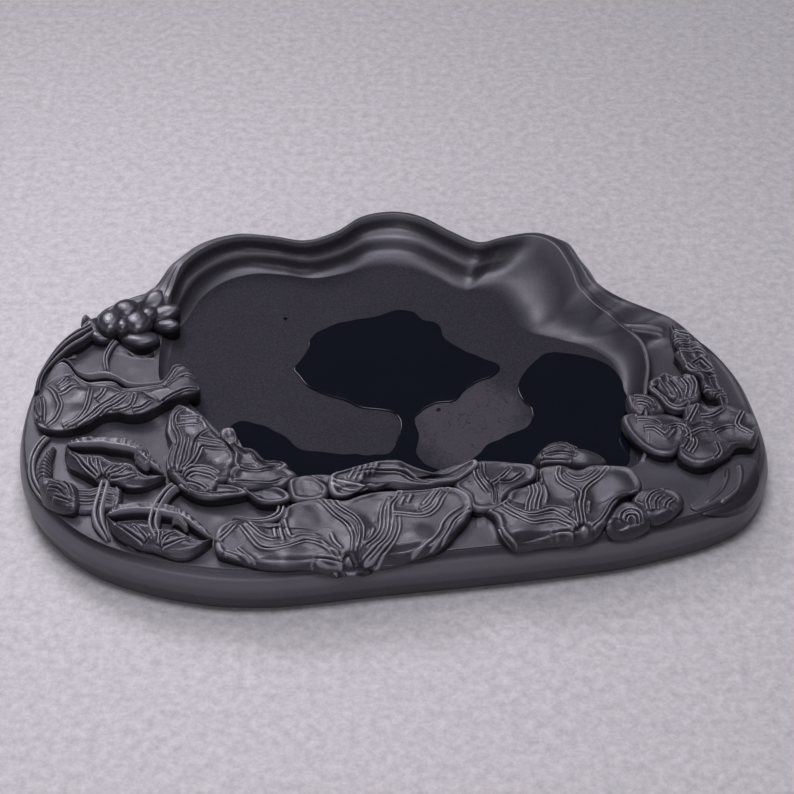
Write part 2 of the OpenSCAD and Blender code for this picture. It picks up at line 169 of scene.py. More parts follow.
# Stations round the stone: wall x and y, basin edge x and y, height outside the edge, height of the
# edge, run of the basin wall, inset of the wall's top, and how much of a step the basin wall has
g, d, r, s = groundHeight, ridgeHeight, rimHeight, stepHeight
stations = [
    (129.5, -27, 87, -20, g, d, 4, 2.5, 0), (127.5, -9, 88, -6, g, d, 6, 2, 0),
    (123.5, 8, 90, 7, g, d, 9, 2, 0), (115, 24, 89, 18, g, d, 12, 2, 0),
    (102, 35.5, 84, 26, d, d, 15, 2, 0), (88.5, 41.5, 77, 32, s, s, 18, 3, 0),
    (80, 50, 69, 40, r, r, 22, 6, 0), (76, 62, 66, 53, r, r, 26, 7, 0),
    (67.5, 72, 61, 66, r, r, 28, 3.5, 0), (55, 75.5, 53, 71, r, r, 25, 1.2, 0.1),
    (43, 73, 42, 69, r, r, 18, 1, 0.45), (33, 70, 32.5, 66, r, r, 14, 1, 0.85),
    (23, 76.5, 22, 72.5, r, r, 13, 1, 1), (12, 85, 11.5, 81, r, r, 16.5, 1, 1),
    (1, 88, 1, 84, r, r, 18, 1, 1), (-11, 85, -10.5, 81, r, r, 15, 1, 1),
    (-21, 76, -20, 72, r, r, 9, 1, 1), (-32, 71, -31.5, 67, r, r, 7, 1, 1),
    (-45, 73.5, -44, 69.5, r, r, 8.5, 1, 1), (-58, 74.5, -56.5, 70.5, r, r, 10, 1, 1),
    (-71, 69, -67.5, 65.5, r, r, 9.5, 1, 1), (-80.5, 58, -76, 55, r, r, 8.5, 1, 1),
    (-89, 47, -80, 41, s, s, 7, 2, 0.8), (-99, 42, -82, 32, g, g, 5, 2, 0.3),
    (-110.5, 33, -82, 22, g, g, 4, 2, 0), (-120, 19, -82, 12, g, g, 3, 2, 0),
    (-125.8, 2, -80, 2, g, g, 2, 2, 0), (-127.5, -16, -70, -8, g, g, 1.5, 2.2, 0),
    (-126, -33, -62, -18, g, g, 1.5, 2.5, 0), (-121, -48.5, -56, -26, g, g, 1.5, 3, 0),
    (-111.5, -62.5, -52, -32, g, g, 1.5, 3, 0), (-98, -74, -46, -37, g, g, 1.5, 3, 0),
    (-80, -82, -40, -41, g, g, 1.5, 3, 0), (-59, -87, -34, -45, g, g, 1.5, 3, 0),
    (-41, -88, -26, -47, g, g, 1.5, 3, 0), (-25, -86.5, -16, -46, g, g, 1.5, 3, 0),
    (-5, -83.5, -3, -42, g, g, 1.5, 3, 0), (22, -80, 14, -44, g, g, 1.5, 3, 0),
    (47, -76.5, 34, -41, g, g, 1.5, 3, 0), (74, -72, 52, -40, g, g, 1.5, 3, 0),
    (92, -67, 66, -41, g, g, 1.5, 3, 0), (109, -60.5, 77, -41, g, g, 1.5, 3, 0),
    (120, -53, 84, -37, g, g, 1.5, 3, 0), (127, -41, 87, -29, g, d, 3, 3, 0),
]
wallLine = [p[0:2] for p in stations]
block = {
    "footInset": 3.5, "footRound": 2.5, "belly": 9.0, "lipRound": 1.6, "ridgeWidth": 3.0,
    "columns": len(stations) * 17, "rows": 118,
}


# How far the leaves' ground falls towards the wall: distance inside the wall, fall
edgeFall = [(0, 7), (1.2, 4.2), (3, 1.7), (4.8, 0.2), (6.5, 0)]


def groundDrop(x, y):
    inside = lineDistance(x, y, wallLine, closed=True, fineness=4)[0]
    return throughKeys(edgeFall, inside)


# How far each point stands above the mean of the surface round it, -1 to 1. Each pass is a reach in
# cells of the grid, the height in mm that counts as fully proud, and the pass's share.
proudPasses = [(2, 0.22, 0.45), (6, 0.7, 0.4), (15, 2.2, 0.4)]


def proudness(co, height, columns, rows):
    i = np.rint((co[:, 0] + 0.5) * columns).astype(int)
    j = np.rint((co[:, 1] + 0.5) * rows).astype(int)
    field = np.zeros((columns + 1, rows + 1))
    field[i, j] = height
    total = np.zeros_like(field)
    for reach, scale, share in proudPasses:
        soft = field
        for axis in (0, 1):
            padded = np.pad(soft, [(reach, reach) if a == axis else (0, 0) for a in (0, 1)], mode="edge")
            soft = sum(np.take(padded, range(k, k + field.shape[axis]), axis) for k in range(2 * reach + 1))
            soft = soft / (2 * reach + 1)
        total += share * np.clip((field - soft) / scale, -1, 1)
    return np.clip(total[i, j], -1, 1)


# Meshes: a unit grid is mapped, merged where it meets itself, and closed underneath
mergeWithin, shortestEdge = 2e-6, 1e-6


def gridPiece(columns, rows, mapping, bottom=None, tuck=0.3):
    bm = bmesh.new()
    bmesh.ops.create_grid(bm, x_segments=columns, y_segments=rows, size=0.5)
    mesh = bpy.data.meshes.new("part")
    bm.to_mesh(mesh)
    bm.free()
    co = np.zeros(len(mesh.vertices) * 3, np.float32)
    mesh.vertices.foreach_get("co", co)
    co = co.reshape(-1, 3).astype(float)
    placed = toFrame(mapping(co[:, 0] + 0.5, co[:, 1] + 0.5))
    mesh.vertices.foreach_set("co", placed.astype(np.float32).ravel())
    proud = proudness(co, placed[:, 2] * perMetre, columns, rows).astype(np.float32)
    mesh.attributes.new("proud", "FLOAT", "POINT").data.foreach_set("value", proud)
    bm = bmesh.new()
    bm.from_mesh(mesh)
    bmesh.ops.remove_doubles(bm, verts=bm.verts, dist=mergeWithin)
    bmesh.ops.dissolve_degenerate(bm, edges=bm.edges, dist=shortestEdge)
    if bottom is not None:
        closeBelow(bm, bottom, tuck)
    bmesh.ops.recalc_face_normals(bm, faces=bm.faces)
    for face in bm.faces:
        face.smooth = True
    bm.to_mesh(mesh)
    bm.free()
    return mesh


def closeBelow(bm, bottom, tuck):
    edges = [e for e in bm.edges if e.is_boundary]
    middle = sum((v.co for v in bm.verts), Vector()) / len(bm.verts)
    grown = bmesh.ops.extrude_edge_only(bm, edges=edges)["geom"]
    for vert in [v for v in grown if isinstance(v, bmesh.types.BMVert)]:
        inward = Vector((middle.x - vert.co.x, middle.y - vert.co.y, 0)).normalized() * tuck * mm
        vert.co = Vector((vert.co.x + inward.x, vert.co.y + inward.y, bottom * mm))
    low = [e for e in grown if isinstance(e, bmesh.types.BMEdge) and e.is_boundary]
    bmesh.ops.edgeloop_fill(bm, edges=low)


# One object from its meshes, with its place in the frame
def finishPiece(name, meshes, material, nodes):
    bm = bmesh.new()
    for mesh in meshes:
        bm.from_mesh(mesh)
    whole = bpy.data.meshes.new(name)
    bm.to_mesh(whole)
    bm.free()
    for mesh in meshes:
        bpy.data.meshes.remove(mesh)
    piece = bpy.data.objects.new(name, whole)
    bpy.context.scene.collection.objects.link(piece)
    whole.materials.append(material)
    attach(piece, "root")
    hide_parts(*nodes)
    print("made", name, len(whole.polygons), "faces")


# Relief that any leaf can carry: ribs about a hub, double and single ridges, grooves, bumps and cuts.
# These are the lines' cross-sections in mm; a double ridge has a slit along its middle and a low swell.
double = {"apart": 0.62, "wide": 0.34, "high": 0.62, "slit": 0.4, "swell": 0.45, "swellWide": 2.4}
single = {"wide": 0.6, "high": 0.75}
groove = {"wide": 0.55, "deep": 0.7}


def relief(x, y, spec):
    h = np.zeros(x.shape)
    for rib in spec.get("ribs", []):
        hx, hy = rib["hub"]
        reach = np.hypot(x - hx, y - hy)
        turn = np.arctan2(y - hy, x - hx) / (2 * math.pi)
        phase = (turn + 0.012 * cloud(x, y, 9, 5)) * rib["count"]
        flute = np.abs(np.cos(math.pi * phase)) ** 0.7 - 0.6
        fade = step(rib["start"], rib["start"] + 5, reach)
        h += rib["height"] * flute * fade * (0.75 + 0.35 * cloud(x, y, 12, 9))
    for line in spec.get("pairs", []):
        away, share = lineDistance(x, y, line)
        fade = step(0, 0.05, share) * (0.35 + 0.65 * step(0, 0.25, 1 - share))
        crests = double["high"] * bell(away - double["apart"], double["wide"])
        h += fade * (crests - double["slit"] * bell(away, double["wide"]))
        h += fade * double["swell"] * bell(away, double["swellWide"])
    for line in spec.get("ridges", []):
        away, share = lineDistance(x, y, line)
        h += single["high"] * bell(away, single["wide"]) * (0.3 + 0.7 * step(0, 0.2, 1 - share))
    for line in spec.get("grooves", []):
        away, share = lineDistance(x, y, line)
        h -= groove["deep"] * bell(away, groove["wide"]) * step(0, 0.06, share) * step(0, 0.1, 1 - share)
    for bx, by, reach, height in spec.get("bumps", []):
        h += height * np.exp(-(((x - bx) ** 2 + (y - by) ** 2) / reach**2))
    for cut in spec.get("cuts", []):
        away, share = lineDistance(x, y, cut["line"])
        h -= cut["deep"] * bell(away, cut["wide"]) * step(0, 0.1, share) * step(0, 0.1, 1 - share)
    return h + spec.get("rough", 0.12) * cloud(x, y, 3.0, 3) + 0.25 * cloud(x, y, 11.0, 7)


def roundEdge(distance, radius):
    near = np.clip(radius - distance, 0, radius)
    return radius - np.sqrt(np.maximum(radius**2 - near**2, 0))


def lengthOf(line):
    return np.sum(np.linalg.norm(np.diff(np.asarray(line, float), axis=0), axis=1))


# A leaf: an outline about its hub, the dome's height on the way out, and the rim's waves and lip
leafUsual = {
    "grow": 0.5, "tilt": (0, 0), "waves": (5, 0.5), "lip": 0.5, "round": 1.1, "least": 0.8, "drape": 1,
    "stand": groundHeight, "sink": 0.6, "tuck": 0.4, "spokes": 360, "rings": 64, "crowding": 1.25,
}


def leafMesh(own):
    spec = {**leafUsual, **own}
    hub = np.array(spec["hub"], float)

    def mapping(u, v):
        v = 1 - (1 - v) ** spec["crowding"]
        rim = closedCurve(spec["outline"], u)
        rim = rim + unit(rim - hub) * spec["grow"]
        xy = hub + (rim - hub) * v[:, None]
        x, y = xy[:, 0], xy[:, 1]
        away = np.linalg.norm(rim - hub, axis=1) * (1 - v)
        h = throughKeys(spec["dome"], v) + relief(x, y, spec)
        h = h + (x - hub[0]) * spec["tilt"][0] + (y - hub[1]) * spec["tilt"][1]
        waves, height = spec["waves"]
        h += height * np.sin(2 * math.pi * (waves * u + 0.1)) * v**3
        h += spec["lip"] * bell(away - 1.5, 1.1)
        h = np.maximum(h, spec["least"]) - roundEdge(away, spec["round"])
        return np.column_stack([x, y, spec["stand"] - groundDrop(x, y) * spec["drape"] + h])

    return gridPiece(spec["spokes"], spec["rings"], mapping, spec["stand"] - spec["sink"], spec["tuck"])


# A pod or a rolled leaf, open along its back: a hollow from back to lip, then a cover down to the front
shellUsual = {
    "share": 0.4, "wall": 0.2, "scallops": 14, "round": 0.8, "least": 0.45, "sink": 0.6, "tuck": 0.3,
    "long": 300, "wide": 130,
}


def shellMesh(own):
    spec = {**shellUsual, **own}
    share, wall = spec["share"], spec["wall"]

    def mapping(u, v):
        back, lip, front = [openCurve(spec[key], u) for key in ("back", "lip", "front")]
        inner, outer = np.clip(v / share, 0, 1), np.clip((v - share) / (1 - share), 0, 1)
        within = (v < share)[:, None]
        xy = np.where(within, back + (lip - back) * inner[:, None], lip + (front - lip) * outer[:, None])
        x, y = xy[:, 0], xy[:, 1]
        gap, body = np.linalg.norm(lip - back, axis=1), np.linalg.norm(front - lip, axis=1)
        rim, brim, belly, edge = [throughKeys(spec[key], u) for key in ("rim", "brim", "belly", "edge")]
        opened = step(0.8, 2.6, gap)
        deep = (rim + brim) / 2 * (1 - opened) + spec["least"] * opened
        hollow = deep + (rim - deep) * (1 - step(wall, wall + 0.16, inner))
        hollow += (brim - deep) * step(0.86, 0.99, inner)
        teeth = 0.12 * np.cos(2 * math.pi * spec["scallops"] * (u + 0.05 * np.sin(9 * u)))
        hollow += (teeth + 0.35 * cloud(x, y, 2.4, 31)) * (1 - step(wall * 0.6, wall + 0.05, inner))
        cover = brim + (belly - brim) * step(0, 0.45, outer) + (edge - belly) * step(0.45, 1, outer)
        cover += 0.45 * bell(outer * body - 0.55, 0.45)
        cover += relief(x, y, spec) * step(0.0, 0.12, outer) * step(0, 0.1, 1.02 - outer)
        h = np.where(v < share, hollow, cover)
        sides = np.where(v < share, inner * gap + 0.25 * (1 - opened) * 3, (1 - outer) * body + 0.2)
        away = np.minimum(sides, np.minimum(u, 1 - u) * lengthOf(spec["back"]) + 0.1)
        h = np.maximum(h, spec["least"]) - roundEdge(away, spec["round"])
        return np.column_stack([x, y, groundHeight - groundDrop(x, y) + np.maximum(h, 0.1)])

    return gridPiece(spec["long"], spec["wide"], mapping, groundHeight - spec["sink"], spec["tuck"])


def oval(middle, long, wide, turn):
    angle = np.arange(16) * math.pi / 8
    point = np.maximum(np.cos(angle), 0) ** 8
    x = long / 2 * np.cos(angle) * (1 + 0.1 * point)
    y = wide / 2 * np.sin(angle) * (1 + 0.14 * np.cos(angle))
    c, s = math.cos(math.radians(turn)), math.sin(math.radians(turn))
    return np.column_stack([middle[0] + x * c - y * s, middle[1] + x * s + y * c])


# A leaf between a back and a front line, domed where it is closed and hollow where it is open
furlUsual = {
    "round": 1.0, "least": 0.5, "sink": 0.6, "tuck": 0.3, "flutes": 0, "fluteHeight": 0, "long": 260,
    "wide": 90,
}


def furlMesh(own):
    spec = {**furlUsual, **own}

    def mapping(u, v):
        a, b = openCurve(spec["back"], u), openCurve(spec["front"], u)
        xy = a + (b - a) * v[:, None]
        x, y = xy[:, 0], xy[:, 1]
        plain, hollow = throughKeys(spec["dome"], v), throughKeys(spec["across"], v)
        openness, swell = throughKeys(spec["open"], u), throughKeys(spec["swell"], u)
        h = (plain * (1 - openness) + hollow * openness) * swell + relief(x, y, spec)
        h += spec["fluteHeight"] * np.cos(2 * math.pi * (spec["flutes"] * v + 0.15 * cloud(x, y, 9, 6)))
        width = np.linalg.norm(b - a, axis=1)
        away = np.minimum(np.minimum(v, 1 - v) * width, np.minimum(u, 1 - u) * lengthOf(spec["back"]))
        h = np.maximum(h, spec["least"]) - roundEdge(away, spec["round"])
        return np.column_stack([x, y, groundHeight - groundDrop(x, y) + h])

    return gridPiece(spec["long"], spec["wide"], mapping, groundHeight - spec["sink"], spec["tuck"])


# A stem along a line, with a shallow trough down its middle
stemUsual = {
    "taper": [(0, 1), (1, 1)], "lows": [(0, 1), (1, 1)], "sink": 0.8, "tuck": 0.1, "long": 150, "wide": 26,
    "section": [(0, 0), (0.08, 0.5), (0.22, 0.95), (0.34, 0.98), (0.5, 0.62), (0.66, 0.98), (0.78, 0.95),
                (0.92, 0.5), (1, 0)],
}


def stemMesh(own):
    spec = {**stemUsual, **own}

    def mapping(u, v):
        line = openCurve(spec["line"], u)
        before, after = np.maximum(u - 0.01, 0), np.minimum(u + 0.01, 1)
        ahead = openCurve(spec["line"], after) - openCurve(spec["line"], before)
        side = unit(ahead)[:, ::-1] * np.array([-1, 1])
        wide = spec["width"] * throughKeys(spec["taper"], u)
        xy = line + side * (wide * (v - 0.5))[:, None]
        x, y = xy[:, 0], xy[:, 1]
        ends = np.minimum(u, 1 - u) * lengthOf(spec["line"])
        h = spec["height"] * throughKeys(spec["lows"], u)
        h *= throughKeys(spec["section"], v) * np.sqrt(np.clip(ends / 1.5, 0, 1))
        h += 0.12 * cloud(x, y, 2.5, 8)
        return np.column_stack([x, y, groundHeight - groundDrop(x, y) + np.maximum(h, 0)])

    return gridPiece(spec["long"], spec["wide"], mapping, groundHeight - spec["sink"], spec["tuck"])


# The slab: one skin from the middle of the foot, over the wall and the rim, to the basin's middle
slabRows = {
    "rows": [0, 3, 10, 30, 46, 56, 66, 74, 111, 114, 116, 118],
    "keys": [0, 2, 4, 7, 9, 11, 12.4, 13, 25, 27, 28.4, 29],
    "landKeys": (9, 9.6, 11.2, 11.8),
    "floorShares": (0.04, 0.12, 0.35, 1),
}
# The basin wall from edge to floor: share of the run, share of the height where it has two coves
twoCoves = [
    (0, 1), (0.03, 0.92), (0.07, 0.78), (0.12, 0.64), (0.18, 0.57), (0.25, 0.525), (0.33, 0.47),
    (0.42, 0.34), (0.52, 0.2), (0.63, 0.12), (0.75, 0.065), (0.87, 0.025), (1, 0),
]


def slabKeys(u):
    wall, edge = closedCurve([p[0:2] for p in stations], u), closedCurve([p[2:4] for p in stations], u)
    land, brink, inset = [closedLine([p[k] for p in stations], u) for k in (4, 5, 7)]
    run, coves = [closedCurve([p[k] for p in stations], u) for k in (6, 8)]
    coves = np.clip(coves, 0, 1)
    inwards, room = unit(edge - wall), np.linalg.norm(edge - wall, axis=1)
    basinMid = np.array(drawn["basinMid"])
    middle = unit(basinMid - edge)
    brow = inset + block["lipRound"]
    ridgeOut = np.minimum(block["ridgeWidth"], (room - brow) * 0.6)
    outside = edge - inwards * ridgeOut[:, None]
    keys = []

    def add(xy, z):
        keys.append(np.column_stack([xy, np.broadcast_to(z, len(xy))]))

    def at(distance):
        return wall + inwards * np.broadcast_to(distance, len(wall))[:, None]

    add(wall * 0, 0.0)
    add(at(16), 0.0)
    add(at(block["footInset"] + 1), 0.0)
    add(at(block["footInset"] * 0.72), 0.4)
    add(at(block["footInset"] * 0.3), block["footRound"])
    add(wall, block["belly"])
    add(at(inset * 0.4), block["belly"] * 0.45 + land * 0.55)
    add(at(inset * 0.95), land - 1.35 * block["lipRound"])
    add(at(brow - 0.3), land - 0.62)
    add(at(brow + np.minimum(1.5, (room - ridgeOut - brow) * 0.25)), land)
    add(at(brow + (room - ridgeOut - brow) * 0.6), land)
    add(outside, land)
    add(edge * 0.6 + outside * 0.4, brink)
    for share, _ in twoCoves:
        scoop = 0.75 * (1 - share) ** 2.2 + 0.25 * (1 - share)
        fall = scoop * (1 - coves) + throughKeys(twoCoves, np.full(len(u), share)) * coves
        add(edge + middle * (run * share)[:, None], floorHeight + (brink - floorHeight) * fall)
    bottom = edge + middle * run[:, None]
    for share in slabRows["floorShares"]:
        add(bottom + (basinMid - bottom) * share, floorHeight)
    return np.array(keys)


def slabMesh():
    def mapping(u, v):
        keys = slabKeys(u)
        last = len(keys) - 1
        place = np.interp(v * block["rows"], slabRows["rows"], slabRows["keys"])
        i = np.minimum(np.floor(place).astype(int), last - 1)
        t = (place - i)[:, None]
        col = np.arange(len(u))
        before, after = keys[np.maximum(i - 1, 0), col], keys[np.minimum(i + 2, last), col]
        xyz = blendCurve(before, keys[i, col], keys[i + 1, col], after, t)
        x, y = xyz[:, 0], xyz[:, 1]
        low, lowFull, highFull, high = slabRows["landKeys"]
        onLand = step(low, lowFull, place) * (1 - step(highFull, high, place))
        for cut in landCuts:
            away, share = lineDistance(x, y, cut["line"])
            ends = step(0, 0.12, share) * step(0, 0.12, 1 - share)
            xyz[:, 2] += onLand * cut["height"] * bell(away, cut["wide"]) * ends
        xyz[:, 2] += onLand * 0.25 * (cloud(x, y, 6, 21) - 0.4)
        xyz[:, 2] = np.clip(xyz[:, 2], 0, rimHeight)
        return xyz

    return gridPiece(block["columns"], block["rows"], mapping)


# Lines cut into or left proud of the ground between the leaves
landCuts = [
    {"line": [(19, -75.5), (22.3, -77), (26, -78)], "wide": 0.7, "height": 1.0},
    {"line": [(18.7, -78.4), (21.4, -79.4)], "wide": 0.6, "height": 0.8},
    {"line": [(29, -63), (32, -64.4), (34, -68), (34.6, -73), (37.4, -75.8)], "wide": 0.8, "height": 1.4},
    {"line": [(66, -73), (70, -74)], "wide": 0.6, "height": 0.9},
    {"line": [(-94, 17.8), (-89, 16.6), (-84, 16.8)], "wide": 1.3, "height": -2.2},
    {"line": [(-96.4, 21), (-94, 16.8), (-89, 14.7), (-83, 14.7)], "wide": 0.6, "height": 0.6},
    {"line": [(78, 27.4), (84, 27.6), (92, 27.6), (99, 26.6)], "wide": 0.55, "height": 0.7},
    {"line": [(78, 25), (84, 25.2), (92, 25.4), (99, 24.8)], "wide": 0.55, "height": 0.7},
    {"line": [(92, 2), (91, 12), (92, 22), (97, 24)], "wide": 2.4, "height": -0.7},
    {"line": [(106, 30), (113, 21), (118, 10), (121, -2), (123, -13)], "wide": 1.2, "height": 1.2},
    {"line": [(112, 17), (116, 8), (118, -1), (120.4, -11)], "wide": 1.9, "height": -2.2},
]


# Wet ink: a raised skin with a round edge, inset and height as a share of the film's
inkEdge = {"insets": [0, 0, 0.06, 0.16, 0.4], "heights": [-0.15, 0.1, 0.66, 0.92, 0.98], "perPoint": 7}


def inkMesh(loop):
    turning = np.sum(np.diff(loop, axis=0) * (np.array(loop[1:]) + np.array(loop[:-1]))[:, ::-1] * [-1, 1])
    rings = len(inkEdge["insets"]) - 1

    def mapping(u, v):
        rim, ahead = closedCurve(loop, u), closedCurve(loop, u + 0.001) - closedCurve(loop, u - 0.001)
        inward = unit(ahead)[:, ::-1] * np.array([-1, 1]) * np.sign(turning)
        inset = np.interp(v * rings, range(rings + 1), inkEdge["insets"])
        inset = inset + 0.45 * cloud(rim[:, 0], rim[:, 1], 3.5, 12)
        share = np.interp(v * rings, range(rings + 1), inkEdge["heights"])
        height = floorHeight + share * (inkTop - floorHeight)
        return np.column_stack([rim + inward * inset[:, None], height])

    mesh = gridPiece(inkEdge["perPoint"] * len(loop), rings, mapping)
    bm = bmesh.new()
    bm.from_mesh(mesh)
    caps = bmesh.ops.holes_fill(bm, edges=[e for e in bm.edges if e.is_boundary], sides=0)["faces"]
    bmesh.ops.recalc_face_normals(bm, faces=bm.faces)
    for face in caps:
        face.smooth = False
    bm.to_mesh(mesh)
    bm.free()
    return mesh


# Shader node groups
def newGroup(name, inputs, outputs):
    tree = bpy.data.node_groups.new(name, "ShaderNodeTree")
    for label, kind, value in inputs:
        socket = tree.interface.new_socket(name=label, in_out="INPUT", socket_type=kind)
        socket.default_value = value
    for label, kind in outputs:
        tree.interface.new_socket(name=label, in_out="OUTPUT", socket_type=kind)
    return tree, tree.nodes.new("NodeGroupInput"), tree.nodes.new("NodeGroupOutput")


def math2(tree, operation, a, b=None, clamp=False):
    node = tree.nodes.new("ShaderNodeMath")
    node.operation = operation
    node.use_clamp = clamp
    for index, value in enumerate([a, b]):
        if value is None:
            continue
        if isinstance(value, (int, float)):
            node.inputs[index].default_value = value
        else:
            tree.links.new(value, node.inputs[index])
    return node.outputs[0]


def noiseAt(tree, vector, scale, detail=4.0, rough=0.6):
    node = tree.nodes.new("ShaderNodeTexNoise")
    node.inputs["Scale"].default_value = scale
    node.inputs["Detail"].default_value = detail
    node.inputs["Roughness"].default_value = rough
    tree.links.new(vector, node.inputs["Vector"])
    return node.outputs["Fac"]


def mapRange(tree, value, low, high, toLow, toHigh):
    node = tree.nodes.new("ShaderNodeMapRange")
    tree.links.new(value, node.inputs["Value"])
    for label, number in [("From Min", low), ("From Max", high), ("To Min", toLow), ("To Max", toHigh)]:
        node.inputs[label].default_value = number
    return node.outputs["Result"]


def mixColour(tree, mask, first, second):
    node = tree.nodes.new("ShaderNodeMix")
    node.data_type = "RGBA"
    tree.links.new(mask, node.inputs["Factor"])
    for label, value in [(6, first), (7, second)]:
        if isinstance(value, tuple):
            node.inputs[label].default_value = value
        else:
            tree.links.new(value, node.inputs[label])
    return node.outputs[2]


def makeGrain():
    tree, into, out = newGroup(
        "stoneGrain",
        [("Colour", "NodeSocketColor", (0.03, 0.028, 0.033, 1)), ("Fleck", "NodeSocketFloat", 0.25),
         ("Wear And Highlight", "NodeSocketFloat", 0.5), ("Base Roughness", "NodeSocketFloat", 0.4),
         ("Proud", "NodeSocketFloat", 0.0), ("Painted Shade", "NodeSocketFloat", 0.85)],
        [("Colour", "NodeSocketColor"), ("Roughness", "NodeSocketFloat"), ("Height", "NodeSocketFloat")],
    )
    cloudColour, fleckColour = (0.014, 0.013, 0.017, 1), (0.11, 0.105, 0.12, 1)
    # The near-black colour is painted shade for recesses; the pale one lightens proud edges, partly wear
    # and partly a painted highlight
    wornAndHighlightColour, paintedShadeColour = (0.21, 0.2, 0.23, 1), (0.006, 0.0055, 0.007, 1)
    place = tree.nodes.new("ShaderNodeTexCoord").outputs["Object"]
    fine, broad = noiseAt(tree, place, 2600, 3), noiseAt(tree, place, 90, 5)
    specks = noiseAt(tree, place, 1500, 2, 0.8)
    # Proud edges are lightened towards the pale colour, weighted per look: partly wear, partly a painted
    # highlight
    edges = mapRange(tree, into.outputs["Proud"], 0.12, 0.7, 0.0, 1.0)
    edges = math2(tree, "MULTIPLY", edges, into.outputs["Wear And Highlight"], clamp=True)
    # Recesses that lie below the surface round them are darkened towards the near-black colour, weighted
    # per look: painted shade
    recessShadeMask = mapRange(tree, into.outputs["Proud"], -0.6, -0.08, 1.0, 0.0)
    flecks = math2(tree, "MULTIPLY", mapRange(tree, specks, 0.42, 0.72, 0.0, 1.0), into.outputs["Fleck"])
    colour = mixColour(tree, mapRange(tree, broad, 0.35, 0.7, 0.0, 0.3), into.outputs["Colour"],
                       cloudColour)
    colour = mixColour(tree, flecks, colour, fleckColour)
    colour = mixColour(tree, edges, colour, wornAndHighlightColour)
    colour = mixColour(tree, math2(tree, "MULTIPLY", recessShadeMask, into.outputs["Painted Shade"]), colour, paintedShadeColour)
    rough = math2(tree, "ADD", into.outputs["Base Roughness"], mapRange(tree, broad, 0.3, 0.7, -0.05, 0.07))
    rough = math2(tree, "SUBTRACT", rough, math2(tree, "MULTIPLY", edges, 0.06), clamp=True)
    tree.links.new(colour, out.inputs["Colour"])
    tree.links.new(rough, out.inputs["Roughness"])
    tree.links.new(math2(tree, "ADD", fine, math2(tree, "MULTIPLY", specks, 0.8)), out.inputs["Height"])
    return tree


# Where the ink has half dried on the floor, and the dark cracks in it. The patch's lighter colour is partly
# the dried ink and partly a painted sheen
driedPatch = {"middle": (0.027, -0.014, 0), "turn": (0, 0, 0.35), "reach": (0.019, 0.03, 10)}


def makeDampInk():
    tree, _, out = newGroup("dampInk", [], [("Film", "NodeSocketFloat"), ("Cracks", "NodeSocketFloat")])
    place = tree.nodes.new("ShaderNodeTexCoord").outputs["Object"]
    mapping = tree.nodes.new("ShaderNodeMapping")
    mapping.vector_type = "TEXTURE"
    mapping.inputs["Location"].default_value = driedPatch["middle"]
    mapping.inputs["Rotation"].default_value = driedPatch["turn"]
    mapping.inputs["Scale"].default_value = driedPatch["reach"]
    tree.links.new(place, mapping.inputs["Vector"])
    length = tree.nodes.new("ShaderNodeVectorMath")
    length.operation = "LENGTH"
    tree.links.new(mapping.outputs["Vector"], length.inputs[0])
    ragged = math2(tree, "MULTIPLY", noiseAt(tree, place, 180, 5, 0.7), 0.9)
    away = math2(tree, "ADD", length.outputs["Value"], ragged)
    tree.links.new(mapRange(tree, away, 1.2, 1.55, 1.0, 0.0), out.inputs["Film"])
    line = math2(tree, "ABSOLUTE", math2(tree, "SUBTRACT", noiseAt(tree, place, 110, 2, 0.5), 0.5))
    tree.links.new(mapRange(tree, line, 0.003, 0.008, 1.0, 0.0), out.inputs["Cracks"])
    return tree


grain = makeGrain()
dampInk = makeDampInk()


def principled(name):
    material = bpy.data.materials.new(name)
    material.use_nodes = True
    return material, material.node_tree, material.node_tree.nodes["Principled BSDF"]


# 1 on the level floor of the basin, 0 on its wall, the rim and the underside
def floorMask(tree):
    place = tree.nodes.new("ShaderNodeTexCoord")
    split, facing = [tree.nodes.new("ShaderNodeSeparateXYZ") for _ in range(2)]
    tree.links.new(place.outputs["Object"], split.inputs[0])
    tree.links.new(place.outputs["Normal"], facing.inputs[0])
    low = (floorHeight + 0.15) / perMetre
    near = mapRange(tree, split.outputs["Z"], low, low + 0.0032, 1.0, 0.0)
    above = mapRange(tree, split.outputs["Z"], low - 0.002, low - 0.001, 0.0, 1.0)
    level = mapRange(tree, facing.outputs["Z"], 0.94, 0.99, 0.0, 1.0)
    return math2(tree, "MULTIPLY", math2(tree, "MULTIPLY", near, above), level)


# Specular level of the stone and of the basin's floor, and the grain's depth in metres
stoneShine, floorShine, bumpDepth = 0.55, 0.22, 0.00012


